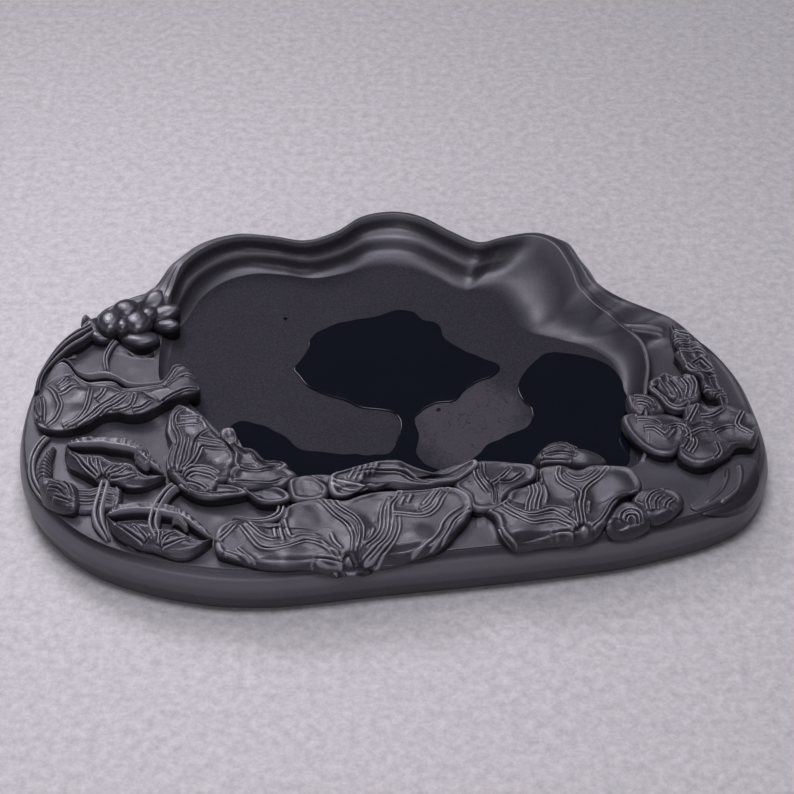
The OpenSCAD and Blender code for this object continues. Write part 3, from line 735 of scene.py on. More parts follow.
def stoneMaterial(name, look):
    material, tree, shader = principled(name)
    node = tree.nodes.new("ShaderNodeGroup")
    node.node_tree = grain
    # Each look's weights set the painted shade in recesses and the wear and painted highlight on proud
    # edges
    for label, key in [("Colour", "colour"), ("Fleck", "fleck"), ("Wear And Highlight", "wearAndHighlight"),
                       ("Base Roughness", "roughness"), ("Painted Shade", "paintedShade")]:
        node.inputs[label].default_value = look[key]
    proud = tree.nodes.new("ShaderNodeAttribute")
    proud.attribute_name = "proud"
    tree.links.new(proud.outputs["Fac"], node.inputs["Proud"])
    bump = tree.nodes.new("ShaderNodeBump")
    bump.inputs["Strength"].default_value = look["bump"]
    bump.inputs["Distance"].default_value = bumpDepth
    tree.links.new(node.outputs["Height"], bump.inputs["Height"])
    tree.links.new(bump.outputs["Normal"], shader.inputs["Normal"])
    rough = node.outputs["Roughness"]
    shader.inputs["Specular IOR Level"].default_value = stoneShine
    if "floorColour" in look:
        onFloor = floorMask(tree)
        damp = tree.nodes.new("ShaderNodeGroup")
        damp.node_tree = dampInk
        film = math2(tree, "MULTIPLY", damp.outputs["Film"], onFloor)
        cracks = math2(tree, "MULTIPLY", damp.outputs["Cracks"], film)
        colour = mixColour(tree, onFloor, look["colour"], look["floorColour"])
        # The film's lighter colour: partly dried ink, partly a painted sheen
        colour = mixColour(tree, film, colour, look["filmAndSheenColour"])
        colour = mixColour(tree, cracks, colour, look["crackColour"])
        tree.links.new(colour, node.inputs["Colour"])
        rougher = math2(tree, "MULTIPLY", onFloor, look["floorRougher"])
        rough = math2(tree, "ADD", rough, rougher, clamp=True)
        smoother = math2(tree, "MULTIPLY", film, look["filmSmoother"])
        rough = math2(tree, "SUBTRACT", rough, smoother, clamp=True)
        shine = mapRange(tree, onFloor, 0, 1, stoneShine, floorShine)
        tree.links.new(shine, shader.inputs["Specular IOR Level"])
    tree.links.new(node.outputs["Colour"], shader.inputs["Base Color"])
    tree.links.new(rough, shader.inputs["Roughness"])
    shader.inputs["IOR"].default_value = 1.5
    shader.inputs["Specular Tint"].default_value = (0.9, 0.9, 1.0, 1)
    return material


# Slab, carved pieces and petals are one stone. The slab's colour is set darker as painted shade on the
# ground, and the carved pieces' colour lighter as painted light on the leaf tops
looks = {
    "shadedSlabStone": {
        "colour": (0.0175, 0.0155, 0.022, 1), "fleck": 0.16, "wearAndHighlight": 0.4, "roughness": 0.38, "paintedShade": 0.1,
        "bump": 0.3, "floorColour": (0.0098, 0.0087, 0.0142, 1), "floorRougher": 0.42, "filmSmoother": 0.22,
        "filmAndSheenColour": (0.024, 0.0215, 0.031, 1), "crackColour": (0.003, 0.003, 0.005, 1)},
    "litCarvedStone": {
        "colour": (0.0205, 0.0185, 0.0255, 1), "fleck": 0.2, "wearAndHighlight": 1.0, "roughness": 0.33, "paintedShade": 0.95,
        "bump": 0.55},
    "petalStone": {
        "colour": (0.016, 0.0145, 0.0205, 1), "fleck": 0.1, "wearAndHighlight": 0.6, "roughness": 0.31, "paintedShade": 0.9,
        "bump": 0.25},
}
stones = {name: stoneMaterial(name, look) for name, look in looks.items()}


def inkMaterial():
    material, tree, shader = principled("wetInk")
    place = tree.nodes.new("ShaderNodeTexCoord").outputs["Object"]
    swirl = noiseAt(tree, place, 60, 3)
    colour = mixColour(tree, swirl, (0.002, 0.0028, 0.0062, 1), (0.0036, 0.0046, 0.0092, 1))
    tree.links.new(colour, shader.inputs["Base Color"])
    tree.links.new(mapRange(tree, swirl, 0.3, 0.7, 0.03, 0.07), shader.inputs["Roughness"])
    shader.inputs["IOR"].default_value = 1.36
    return material


wetInk = inkMaterial()

# A low patch of the slab's top, where ridges follow the right-hand edge
rimRidges = {
    "hub": (113.6, -48),
    "outline": [
        (108, -44), (110.6, -40.4), (114.4, -37.4), (118.6, -35.6), (122.4, -36.6), (123.8, -41),
        (122.6, -47), (119, -52.6), (114, -56.4), (108.4, -58.8), (103, -59.4), (99.6, -57.6), (103, -53),
        (106, -49)],
    "dome": [(0, 0.15), (0.7, 0.1), (1, -0.5)], "lip": 0, "waves": (2, 0.1), "round": 0.3, "grow": 0.6,
    "spokes": 180, "rings": 44, "rough": 0.05,
    "cuts": [
        {"line": [(121.6, -38), (121.8, -44), (119.2, -51), (113.6, -56)], "wide": 1.1, "deep": -0.9},
        {"line": [(117.4, -38), (117.4, -43.5), (115, -50.4), (108.6, -57)], "wide": 1.2, "deep": -1.1},
        {"line": [(113, -40), (112.6, -44.6), (110, -50.6), (103.4, -57)], "wide": 1.2, "deep": -1.0}],
}
# The slab takes the darker copy of the stone: painted shade
finishPiece("slab", [slabMesh(), leafMesh(rimRidges)], stones["shadedSlabStone"], ["stone_block"])

inkLoops = [
    [(-34, 12), (-30, 21), (-28, 29), (-23, 33.5), (-14, 37.5), (-5, 39.5), (2, 43), (8, 42), (12, 37.5),
     (17, 36), (20, 28), (25, 22.5), (31, 18), (39, 13), (37, 8), (30, 4), (26, 0), (22, -5), (15, -6.5),
     (9.5, -12), (8.5, -16), (10, -22), (9, -30), (13, -36), (20, -38.5), (27, -34), (33, -27), (41, -21),
     (48, -17), (49, -9), (45, -2), (47, 8), (54, 18), (61, 20), (73, 17), (80, 10), (82.5, 0), (83, -10),
     (82.5, -24), (80, -36), (70, -39), (55, -39), (36, -39.5), (14, -42), (-4, -41), (-16, -44.5),
     (-26, -45.5), (-34, -43.5), (-41, -39), (-48, -34), (-54, -27), (-57, -21), (-52, -15), (-44, -17),
     (-36, -22), (-30, -28.5), (-16, -30.5), (-2, -31), (1.5, -26), (4, -16), (0, -10), (-10, -8.5),
     (-17, -4), (-26, 0), (-32, 7)],
    [(16.4, -8.6), (17.2, -8.4), (17.8, -9.2), (17, -9.8), (16.2, -9.4)],
    [(-38.6, 37.7), (-37.9, 37.8), (-37.8, 38.3), (-38.5, 38.4)],
]
finishPiece("inkPool", [inkMesh(loop) for loop in inkLoops], wetInk, ["ink_pool"])

# The broad leaves along the front
frontLeafLeft = {
    "hub": (-10, -71),
    "outline": [
        (-55.6, -78), (-55.8, -73.4), (-54.4, -70), (-51, -67.3), (-47.4, -67.6), (-42, -70),
        (-37.4, -70.4), (-34.6, -66), (-33.8, -61.6), (-29.4, -58.8), (-23, -57.6), (-15, -58.6),
        (-9, -56.4), (-3, -54.4), (4, -54.0), (11, -53.3), (18, -52.8), (23, -53.8), (26.6, -57.4),
        (26.8, -62), (24.4, -67), (21.6, -71), (18.8, -75.4), (14.4, -78.4), (8, -80.2), (2, -81.4),
        (-4, -82.4), (-11, -84.6), (-18, -84.8), (-26, -84.6), (-34, -85.4), (-41, -84.8), (-48, -83.2),
        (-54, -81)],
    "dome": [(0, 4.2), (0.4, 3.9), (0.75, 4.2), (1, 4.0)], "lip": 0.7, "waves": (6, 0.5), "spokes": 470,
    "rings": 104, "round": 1.4,
    "pairs": [
        [(-48.6, -68.4), (-46, -72.4), (-43.6, -76), (-41, -78.6), (-37, -79.8), (-33, -79), (-30, -77.2),
         (-27, -76), (-24, -76.4), (-21.4, -77.8), (-19, -80), (-15.6, -83.4)],
        [(-46.4, -68), (-44, -71), (-41.6, -73.8), (-38, -75.6), (-35, -75.4)],
        [(-52.6, -81), (-48.8, -82.4), (-45.4, -84.2), (-42, -85.6)],
        [(-49, -79.4), (-46, -82), (-43.6, -84.4)], [(-55, -77), (-52, -73), (-50, -69)],
        [(-11.4, -80.6), (-11.3, -75), (-12.4, -70.8), (-14.6, -67.5), (-17.9, -64.2), (-20.8, -60.3),
         (-22.6, -58)],
        [(-9.6, -79.6), (-8.9, -73.7), (-9.2, -69.8), (-11, -66), (-14.4, -63.2), (-17, -60.8),
         (-18.6, -58.4)],
        [(-9, -83), (-5.6, -80.3), (-2.6, -77.3), (-0.9, -74.6), (0, -71.4), (0.4, -67.7), (0.4, -64),
         (0.7, -60.2), (2.4, -57.4), (3.4, -55)],
        [(-8, -79), (-5.2, -76), (-3.4, -73.2), (-2.4, -70), (-2.3, -65.3), (-1.8, -61.6), (-0.6, -57.6)],
        [(-8, -84), (-4.4, -82.4), (-1.6, -79.8), (0.8, -77.3), (2.1, -74.1), (2.8, -70.5), (2.7, -66)],
        [(0.8, -64.7), (4.9, -64.9), (9, -65.6), (12.4, -65.1), (15.4, -62.1), (17, -58.3), (19.2, -54)],
        [(10, -63.2), (13.2, -61), (15.4, -56.6), (16.8, -53.6)],
        [(8, -83), (13.4, -79.8), (16.2, -77.4), (18, -74.4), (19.4, -71), (20.8, -67.7), (23.2, -64.9),
         (26.4, -62.2)],
        [(-14.6, -83.6), (-19, -83), (-23.4, -82.8)], [(-14.6, -85), (-19.4, -85.2), (-24, -84.6)]],
    "ridges": [
        [(-37.2, -71.4), (-36.8, -73.6), (-36.4, -75.4)], [(-35.4, -70.2), (-34.8, -73.4), (-34, -76.6)],
        [(-33.8, -68.4), (-33, -71.4), (-31.8, -74.6)], [(-31, -74.6), (-28, -73.4), (-22.6, -73.6)],
        [(-8, -77.4), (-6, -74), (-5, -70)], [(-15.6, -79), (-17.6, -76.4), (-18.8, -72.6)],
        [(-16.6, -81), (-20, -79.4), (-22, -76)],
        [(7.4, -80.6), (13.2, -76.4), (16, -72), (17, -68.6), (19.2, -65.3), (22.1, -62.6), (25.2, -60.2)],
        [(11, -60.2), (13.2, -57), (14.8, -54)], [(3.6, -60), (5, -56.6)], [(6, -59), (7.2, -55.6)]],
    "bumps": [
        (-13, -83.4, 2.3, 1.0), (8.6, -73, 6, 1.1), (-28, -66, 6, 0.6), (-33, -83, 5, 0.9),
        (-51, -75, 4, 0.6), (-5.4, -66, 3, -0.7), (-24, -70, 5, -0.5), (22, -57.6, 3.4, 0.8),
        (-43, -81, 4, -0.6)],
    "cuts": [{"line": [(-15.2, -83.6), (-13, -81.2), (-10.8, -83.6)], "wide": 0.45, "deep": 1.0}],
}
frontLeafFold = {
    "grow": 0.8, "hub": (4, -47.4),
    "outline": [
        (-19.6, -48.6), (-15, -46), (-10.5, -44.2), (-5.5, -41.8), (0.7, -40.6), (3.6, -41), (6.3, -43),
        (9.8, -45.2), (13.3, -46.8), (16.1, -47.6), (19.2, -47.2), (22.3, -45.4), (25.6, -43),
        (28.6, -41.4), (29, -43.6), (25, -48), (21.6, -50.8), (16, -52), (11, -52.8), (4, -52.8), (0, -52),
        (-4, -53.2), (-8.4, -53), (-13, -56.6), (-18.4, -56)],
    "dome": [(0, 2.6), (0.3, 2.8), (0.7, 4.6), (1, 4.6)], "lip": 1.0, "waves": (4, 0.3), "spokes": 420,
    "pairs": [
        [(-12, -47), (-6, -45.4), (0.6, -44.4), (4.2, -44.9), (7.7, -47.6), (11.2, -49.8), (15, -50.8),
         (21, -50), (24, -47.6), (27.4, -43.8)]],
    "ridges": [
        [(-13.4, -48.6), (-11.6, -45.2)], [(-11.6, -48.8), (-9.4, -44.4)], [(-9.6, -48.6), (-7.4, -43.6)],
        [(-7.4, -46.6), (-5.4, -43)], [(-5.6, -46), (-4, -42.6)], [(-18, -52), (-13, -54.6), (-9.4, -53.4)],
        [(-18.6, -50), (-12, -51.4), (-6, -51.9), (0.3, -51), (4, -51.7), (10.6, -52)]],
    "grooves": [
        [(-10, -50), (-4, -49.4), (3, -48.6), (8, -50.4)], [(-17, -54), (-13.6, -52.6), (-10, -52)]],
}
frontLeafMiddle = {
    "grow": 1.0, "hub": (32, -50),
    "outline": [
        (22.2, -52), (24.6, -48.6), (28, -44.6), (29.4, -41.2), (34, -40.8), (39, -40.4), (44, -41.4),
        (48, -43.4), (47.4, -47.6), (43.6, -50.4), (40, -53), (37, -57), (36, -60.5), (31, -62),
        (27.6, -61), (26.4, -56.6)],
    "dome": [(0, 4.4), (0.5, 4.0), (1, 3.8)], "round": 1.4,
    "pairs": [
        [(30.9, -41.6), (30.8, -46.3), (32, -50.2), (33.5, -52), (34.4, -55), (34.6, -59)],
        [(33.5, -52), (36, -49.3), (37.8, -47.3), (40.4, -43.6)],
        [(28.6, -45), (29, -48.3), (30.6, -52), (32.6, -55)], [(36, -50.4), (40, -49.6), (44, -46)]],
    "bumps": [(27, -53, 3, 0.6), (41.6, -45.6, 2.6, 0.5)],
}
frontLeafRight = {
    "hub": (60, -61),
    "outline": [
        (38.5, -57.9), (39.8, -54.7), (43.3, -52.7), (48, -50.6), (49.8, -48.6), (50, -44.2), (55.6, -43.1),
        (58.7, -43.1), (61.7, -44.2), (64.9, -43.6), (67.4, -42.5), (73, -43), (79.6, -43.6), (82.3, -46.6),
        (83.2, -50.6), (81.6, -54.4), (77.9, -56.4), (74.6, -58.4), (72.6, -62), (70.6, -66.4),
        (67.6, -70.4), (63, -72.6), (56, -73.6), (49, -74.6), (42, -76), (38.4, -75.2), (35.6, -72.4),
        (35.4, -69), (34.4, -65), (32, -62.4), (35.6, -60.2)],
    "dome": [(0, 4.2), (0.4, 3.9), (0.75, 4.2), (1, 4.0)], "lip": 0.6, "waves": (6, 0.5), "spokes": 450,
    "rings": 96,
    "pairs": [
        [(60, -71), (56.9, -69), (54, -67.2), (50.2, -67.6), (46.4, -68.4), (42.8, -67), (39.5, -64.1),
         (36.6, -60.8)],
        [(60.6, -70.6), (59.1, -68.6), (56.9, -66), (54, -63.8), (50.6, -64.1), (47.1, -65.1), (44.2, -65),
         (41.3, -63.3), (38.1, -60)],
        [(59.2, -64), (56.4, -62.5), (52.6, -62.1), (49.6, -62.5)],
        [(44.9, -64), (45.4, -60), (46.7, -55.8), (46.5, -51.8)],
        [(47.6, -63.4), (48.3, -59), (49.4, -54.7), (48.8, -51)],
        [(61.8, -69.6), (61.4, -64), (61.2, -60), (62.2, -56.3), (61.6, -53.8), (59, -52.1), (56.5, -50),
         (55.8, -47.4), (56.3, -44.6)],
        [(63, -69.4), (62.7, -61.5), (63.5, -56.8), (64.2, -53.6), (66.3, -51), (69.2, -48.5),
         (72.1, -44.4)],
        [(58, -46.4), (59.9, -48.5), (62.9, -49.4), (66.1, -47.9), (68.9, -44.6)],
        [(65.4, -70.2), (68.4, -67.6), (70.4, -64.4), (72.4, -60.6), (75, -57.8), (78.2, -56),
         (81.6, -54.8)],
        [(59.6, -71.6), (56, -71.6), (53, -72)], [(35.8, -71.6), (37, -74), (40.4, -76)]],
    "ridges": [[(51, -52), (51.6, -56), (50.8, -60)], [(65, -63), (65.6, -58)]],
    "grooves": [[(38.6, -58.4), (44.6, -61.5)]],
    "bumps": [
        (63, -71.4, 2.3, 1.0), (56, -56.5, 4, -0.8), (68, -58, 4.5, -0.8), (42, -72, 5, 0.8),
        (76, -49.6, 4.6, 0.7)],
    "cuts": [{"line": [(60.8, -71.2), (63, -68.8), (65.2, -71.2)], "wide": 0.45, "deep": 1.0}],
}
endLeaves = [
    {"hub": (78, -66), "grow": 1.2,
     "outline": [
         (71.4, -68.6), (73.2, -64.6), (75, -61.4), (77.4, -59.6), (80.4, -60.4), (82.6, -63.6),
         (83.6, -67), (78.6, -68.8), (73.6, -70)],
     "dome": [(0, 3.2), (0.6, 3.6), (1, 3.8)], "waves": (3, 0.2), "spokes": 240, "rings": 48,
     "pairs": [
         [(75, -66.5), (76.2, -63.6), (78.6, -62.4), (81, -63.8), (82, -66.4)],
         [(76.6, -67), (77.4, -65.2), (78.8, -64.6), (80.2, -65.4), (80.8, -67)]]},
    {"hub": (87.6, -58.6), "grow": 1.2,
     "outline": [
         (82.4, -55), (85.6, -53), (89.6, -52.4), (94, -54.4), (95.6, -58), (92.6, -62), (87.6, -64.6),
         (84.6, -64), (82.6, -60.6), (80.4, -58)],
     "dome": [(0, 4.0), (0.6, 3.9), (1, 3.4)], "waves": (4, 0.4), "spokes": 260, "rings": 54,
     "pairs": [
         [(84.6, -63), (84.4, -59), (86.4, -55.4), (89.6, -53.6)],
         [(87, -62.6), (87.4, -59), (89.8, -56.4)], [(90, -62), (90.8, -59.6), (93, -57.6)]]},
]
basinLeaf = {
    "hub": (60, -35.6), "stand": floorHeight, "drape": 0,
    "outline": [
        (49, -37), (49.6, -34.6), (51.6, -31.4), (54.6, -29.6), (59, -29), (61.4, -31.6), (63.4, -33.6),
        (67.6, -33.8), (71, -35), (73, -38), (69, -40.4), (62, -41), (55, -40.6), (50.6, -39.4)],
    "dome": [(0, 6.2), (0.5, 5.6), (0.8, 4.6), (1, 2.4)], "waves": (5, 0.4),
    "pairs": [
        [(60.2, -31.2), (61.4, -33.4), (62.8, -35)], [(50.6, -38.4), (55, -39.2), (60, -39.6)],
        [(52, -35), (56, -33.4), (60, -34.6)], [(51.4, -37), (57, -36.2), (62, -37)]],
    "bumps": [(66, -37, 3.6, 0.8)],
}

# The fan leaf, the lobes beside it and the small hook
fanLeaf = {
    "hub": (-66, -35),
    "outline": [
        (-70.6, -49.5), (-73.4, -46), (-74.4, -40), (-73.8, -33.5), (-75.8, -27), (-75.6, -21),
        (-74.4, -16.4), (-72.6, -13.2), (-70, -14), (-66.6, -17), (-63.6, -20), (-61.2, -24.5),
        (-58.6, -27.6), (-56, -30.5), (-54.2, -34.4), (-52.4, -37), (-51.6, -40.4), (-52.6, -43.6),
        (-53.4, -48.4), (-56.4, -50.6), (-58.4, -54), (-63, -54.6), (-67.4, -52.4)],
    "dome": [(0, 5.4), (0.5, 5.2), (0.85, 4.8), (1, 4.0)], "lip": 0.4,
    "ribs": [{"hub": (-69, -49), "count": 30, "height": 0.22, "start": 4}],
    "pairs": [
        [(-72.8, -45.6), (-73.4, -41), (-72.8, -36.5), (-72.4, -34.4)],
        [(-71.2, -46.7), (-71.3, -41), (-70.8, -36.5), (-70.6, -32), (-71.8, -27.9), (-72.8, -25.6),
         (-73.3, -21.4), (-72.4, -17.9), (-70.8, -15.6)],
        [(-69.8, -47.2), (-69, -42.2), (-68.6, -37), (-68.2, -32), (-69, -29.4)],
        [(-69.2, -47.5), (-67.1, -43.9), (-66, -40), (-65.8, -35.3), (-65.2, -32), (-63.7, -28.5),
         (-61.4, -26)],
        [(-68.8, -47.8), (-65.4, -43.4), (-63.9, -38.8), (-63, -35.3), (-59.5, -35.4), (-55, -35.7)],
        [(-64.3, -31.8), (-60.2, -32.4), (-56, -33.4)], [(-72, -25.6), (-69, -24.3), (-64.4, -24.3)],
        [(-71.4, -21.4), (-68, -20.7), (-64.6, -20.7)],
        [(-68.4, -49), (-65.6, -45.8), (-61.5, -44.8), (-57, -46.6)],
        [(-67.6, -49.5), (-64.3, -47.2), (-60.2, -48), (-57.4, -49.5)],
        [(-66.7, -50.6), (-63.4, -51.7), (-60.4, -53.6)]],
    "bumps": [(-59, -40.5, 3.6, -0.8)], "spokes": 400, "rings": 84,
}
fanFoot = {
    "hub": (-60, -54),
    "outline": [
        (-69.4, -51), (-66, -54.6), (-62, -56.6), (-57, -57.2), (-51.4, -56.2), (-47, -54.6), (-50, -52.4),
        (-55, -51), (-62, -50.6)],
    "dome": [(0, 3.2), (0.6, 3.4), (1, 3.8)], "lip": 0.7, "spokes": 260, "rings": 40, "waves": (3, 0.2),
    "pairs": [[(-66, -53), (-61, -54.8), (-55, -54.8), (-50, -54.2)]],
}
fanLobes = [
    {"hub": (-47, -38.5), "grow": 0.9,
     "outline": [
         (-56.6, -25.4), (-53.4, -25.6), (-52.2, -29), (-52.4, -31.6), (-49.8, -33.9), (-46, -35.4),
         (-43.2, -38.6), (-41, -40.8), (-37, -40.8), (-34.4, -42.4), (-36, -44.4), (-41, -45.4),
         (-47, -45.4), (-51.4, -42), (-51.6, -37), (-54, -32.6), (-56.8, -29)],
     "dome": [(0, 3.8), (0.5, 3.8), (1, 4.0)], "waves": (4, 0.3), "lip": 0.7,
     "grooves": [[(-53, -31), (-50.6, -35), (-46.6, -36.2), (-44, -39.6), (-41, -42), (-37, -41.8)]],
     "bumps": [(-54.4, -27.6, 1.8, 1.4)]},
    {"hub": (-43, -48), "grow": 0.9,
     "outline": [
         (-52.6, -44.6), (-49, -42.4), (-45.6, -41.2), (-41.6, -44), (-37.6, -42.8), (-34.6, -43.4),
         (-31.4, -46.8), (-33.4, -49.4), (-36, -52), (-41, -52.2), (-47, -52.6), (-52.8, -50.4)],
     "dome": [(0, 4.8), (0.5, 4.6), (1, 4.0)], "waves": (4, 0.4),
     "pairs": [
         [(-50, -44), (-46, -45.6), (-42, -45.2), (-38, -43.8)],
         [(-52, -50), (-46, -50.8), (-40, -51), (-35, -48.6)]],
     "bumps": [(-51.6, -46.4, 1.8, -1.2)]},
    {"hub": (-41.6, -55), "grow": 0.9,
     "outline": [
         (-48, -53), (-46, -51.4), (-41, -51.8), (-37, -52.6), (-33.8, -54.8), (-33.4, -57), (-37, -58.6),
         (-41.6, -58.2), (-45, -55.8)],
     "dome": [(0, 3.2), (0.5, 3.2), (1, 3.8)], "spokes": 240, "rings": 40, "lip": 0.8, "waves": (3, 0.2)},
    {"hub": (-27.6, -52.4), "grow": 0.9,
     "outline": [
         (-33, -50), (-30, -47.4), (-25.4, -47.6), (-22, -50.6), (-20.6, -54), (-22.2, -57), (-27, -58),
         (-31.6, -56.8)],
     "dome": [(0, 3.9), (0.5, 4.0), (1, 3.6)], "spokes": 240, "rings": 44, "waves": (5, 0.3), "lip": 0.7},
    {"hub": (-22, -48.4),
     "outline": [(-27, -46.4), (-23, -45.6), (-19, -46.2), (-17.4, -49.4), (-19.6, -51), (-23, -49)],
     "dome": [(0, 3.4), (0.5, 3.4), (1, 2.8)], "spokes": 160, "rings": 30, "waves": (3, 0.2)},
]
curledTendril = {
    "line": [(-35.5, -58.5), (-36, -62), (-39, -64.6), (-45, -65.3), (-51.4, -63.4)], "width": 2.9,
    "height": 2.8, "taper": [(0, 1.25), (0.5, 1), (1, 0.35)],
}

# The long leaf that rolls over the basin's left edge, and its stem
furledLeaf = {
    "back": [
        (-120.2, -8), (-119.4, -2), (-117.6, 5), (-115, 8.6), (-112.2, 7), (-108.8, 2.4), (-104, 1),
        (-98.6, 2), (-94.6, 0), (-91, -2.6), (-86, -3.4), (-82, -3), (-79, -2), (-77.2, 2), (-75.8, 5.8),
        (-73, 6)],
    "lip": [
        (-121.4, -8.6), (-120.2, -4), (-118.2, 3), (-115.4, 7.2), (-112.6, 5.4), (-109.4, 0.4), (-105, -3),
        (-100.6, -2.6), (-96, -2.8), (-92.4, -6), (-87.6, -5.8), (-83, -5), (-79, -4), (-76.6, 0), (-75, 4),
        (-72.4, 5)],
    "front": [
        (-123.2, -14), (-121.8, -19), (-119, -23.4), (-114.4, -25.2), (-108.6, -25), (-103, -23),
        (-98.6, -19), (-94, -17.6), (-89.8, -18.6), (-85, -18.4), (-80.6, -16), (-77, -12.6),
        (-72.6, -10.4), (-68.4, -8.6), (-65.6, -5.6), (-67.6, 0.5)],
    "rim": [(0, 4.4), (0.3, 5.8), (0.6, 5.4), (1, 5)],
    "brim": [(0, 4.4), (0.3, 4.8), (0.6, 4.8), (0.8, 5.2), (1, 5)],
    "belly": [(0, 4.8), (0.35, 6.4), (0.65, 6.2), (0.85, 6.2), (1, 5.4)],
    "edge": [(0, 3), (0.3, 4), (0.6, 5), (0.8, 5.2), (1, 4)], "share": 0.3, "scallops": 0, "long": 420,
    "wide": 150,
    "pairs": [
        [(-117.2, -23.5), (-114.6, -20.7), (-113.5, -17.7), (-113, -14.8), (-114, -12.4), (-115.1, -9.9),
         (-116.6, -7.5), (-118.2, -5.7)],
        [(-119.8, -20), (-121.4, -16.5), (-121.8, -13)], [(-118.4, -21.5), (-118.8, -16), (-120, -11)],
        [(-114.4, -10.4), (-112, -9.3), (-109.7, -6.9), (-107.6, -5.6)],
        [(-114, -8.4), (-111.5, -6.6), (-110.2, -4)], [(-114.6, -6.4), (-113, -4), (-112.6, -1.4)],
        [(-111.3, -24.2), (-107, -21.9), (-104.7, -18.3), (-103.6, -14.8), (-103.2, -10.6), (-103.4, -6.3)],
        [(-109.5, -24.7), (-105.7, -23), (-102, -18.9), (-99.8, -15.9), (-96.6, -13.5), (-93.5, -11.1),
         (-91.6, -9)],
        [(-106.4, -24.5), (-102.7, -22.5), (-99.5, -19.5), (-97.2, -16.5), (-94, -14.7), (-91.2, -12.3),
         (-89.6, -9.8)],
        [(-95, -17.4), (-90, -16.2), (-88.2, -14), (-87.8, -10)], [(-88, -17), (-84.8, -16), (-82, -13)],
        [(-101, -13), (-99, -10.4), (-98.4, -7)], [(-79, -13.3), (-74.7, -9.9), (-70.3, -7.2), (-66.4, -6)],
        [(-77.6, -6.3), (-74.8, -3.2), (-71.1, -1), (-68.4, -0.8)]],
    "grooves": [
        [(-119.6, -6), (-116.2, -1.8), (-113, -0.4), (-110, -1.6), (-107.6, -4.4), (-103, -5.2),
         (-98.6, -5.6), (-95, -8), (-91, -9.6), (-86.6, -8.6)],
        [(-86, -8.4), (-83.6, -11), (-80, -12.8), (-77, -12)], [(-110, 1), (-113, -1)],
        [(-79, -1), (-76, -2.6), (-71, -1.6)]],
}
furledStem = {
    "line": [
        (-116.4, -25.8), (-119, -31), (-120.4, -38), (-119.6, -44), (-117.4, -49), (-114.6, -53.4),
        (-112, -56.4)],
    "width": 3.2, "height": 2.4, "taper": [(0, 0.9), (0.5, 1), (1, 0.5)],
}

# Two seed pods, open along the back, and their stems
upperPod = {
    "back": [
        (-108.8, -32.4), (-106.8, -30.4), (-103.2, -30), (-98.7, -30.2), (-94.2, -30.4), (-89.7, -30.8),
        (-86, -32.2), (-82.8, -35), (-79.8, -38.2), (-76.6, -42.4), (-74.2, -47)],
    "lip": [
        (-108.8, -33.6), (-106.2, -36.5), (-102.6, -37.9), (-98.9, -38.2), (-96.4, -38.4), (-93.7, -40.4),
        (-91, -41.5), (-88.6, -41.4), (-86.3, -42), (-83.8, -44.8), (-80.8, -47), (-77.2, -46.9),
        (-74.4, -47.2)],
    "front": [
        (-109.2, -34.2), (-109, -38.2), (-107, -42.2), (-103.4, -44.8), (-99.4, -47.6), (-95.6, -49.8),
        (-91, -50), (-86.4, -51.6), (-81.6, -51.4), (-77.8, -49.6), (-74.6, -47.4)],
    "rim": [(0, 4.6), (0.3, 5.8), (0.7, 5.6), (1, 4)], "brim": [(0, 4.4), (0.3, 4.2), (0.7, 4.2), (1, 4)],
    "belly": [(0, 4.6), (0.4, 5.4), (0.8, 5), (1, 4)], "edge": [(0, 3), (0.4, 3.6), (0.8, 3.2), (1, 3)],
    "share": 0.52, "wall": 0.3, "scallops": 17,
    "ribs": [{"hub": (-94.6, -50), "count": 30, "height": 0.3, "start": 2}],
    "pairs": [
        [(-96.6, -48.6), (-101, -44), (-104, -40), (-106.4, -37.6)],
        [(-96, -48.2), (-99.4, -43.6), (-100, -39.6)], [(-95.4, -48), (-96.6, -44), (-97.4, -40)],
        [(-94.4, -48), (-92.6, -45.4), (-91.4, -42.8)], [(-93.6, -48.6), (-89.6, -46.6), (-87, -44)],
        [(-92.6, -49), (-87.4, -48.4), (-83.6, -47.4)]],
}
podCurl = {
    "line": [(-86, -36.4), (-82, -36.2), (-80.4, -39.4), (-81.2, -43), (-85, -38.6)], "width": 1.5,
    "height": 6.4, "long": 90,
}
lowerPod = {
    "back": [
        (-92, -64.6), (-90.8, -62.4), (-88.4, -60.6), (-83.7, -60), (-79.8, -60), (-75, -60.4),
        (-71.4, -61.4), (-68.4, -62.6), (-65, -64.9), (-61.4, -68.4), (-58, -72), (-56.8, -74.6)],
    "lip": [
        (-92, -65), (-89.6, -67.6), (-86.6, -68.9), (-82.6, -68.6), (-79, -68.8), (-76, -70.8),
        (-72.6, -71.2), (-69, -71.4), (-66.2, -73), (-63, -75.2), (-60, -76), (-57, -75)],
    "front": [
        (-92, -65.4), (-90.4, -69.8), (-87.6, -73), (-83.6, -75.8), (-80.2, -77.6), (-76, -78.6),
        (-72, -80.2), (-68, -81.6), (-64, -81.4), (-60.4, -79), (-57.4, -75.6)],
    "rim": [(0, 4.4), (0.3, 5.4), (0.7, 5.4), (1, 4)], "brim": [(0, 4.2), (0.3, 4.0), (0.7, 4.0), (1, 4)],
    "belly": [(0, 4.4), (0.4, 5), (0.8, 4.6), (1, 3.8)],
    "edge": [(0, 2.8), (0.4, 3.2), (0.8, 2.8), (1, 2.8)], "share": 0.5, "wall": 0.3, "scallops": 13,
    "ribs": [{"hub": (-76, -80), "count": 30, "height": 0.3, "start": 2}],
    "pairs": [
        [(-78.6, -77), (-83, -73.4), (-87.6, -70)], [(-78, -76), (-80.6, -72.6), (-82.6, -69.8)],
        [(-73.6, -78), (-71.4, -75), (-69, -72.6)], [(-73, -78.6), (-68, -77), (-64.6, -75.4)],
        [(-73.6, -77.4), (-73.4, -74.6), (-73.6, -72)]],
}
lowerPodCurl = {
    "line": [(-69.2, -62.6), (-68.4, -66), (-65.6, -70.4), (-68, -67.4), (-70.6, -66.4)], "width": 1.5,
    "height": 5.8, "long": 90,
}
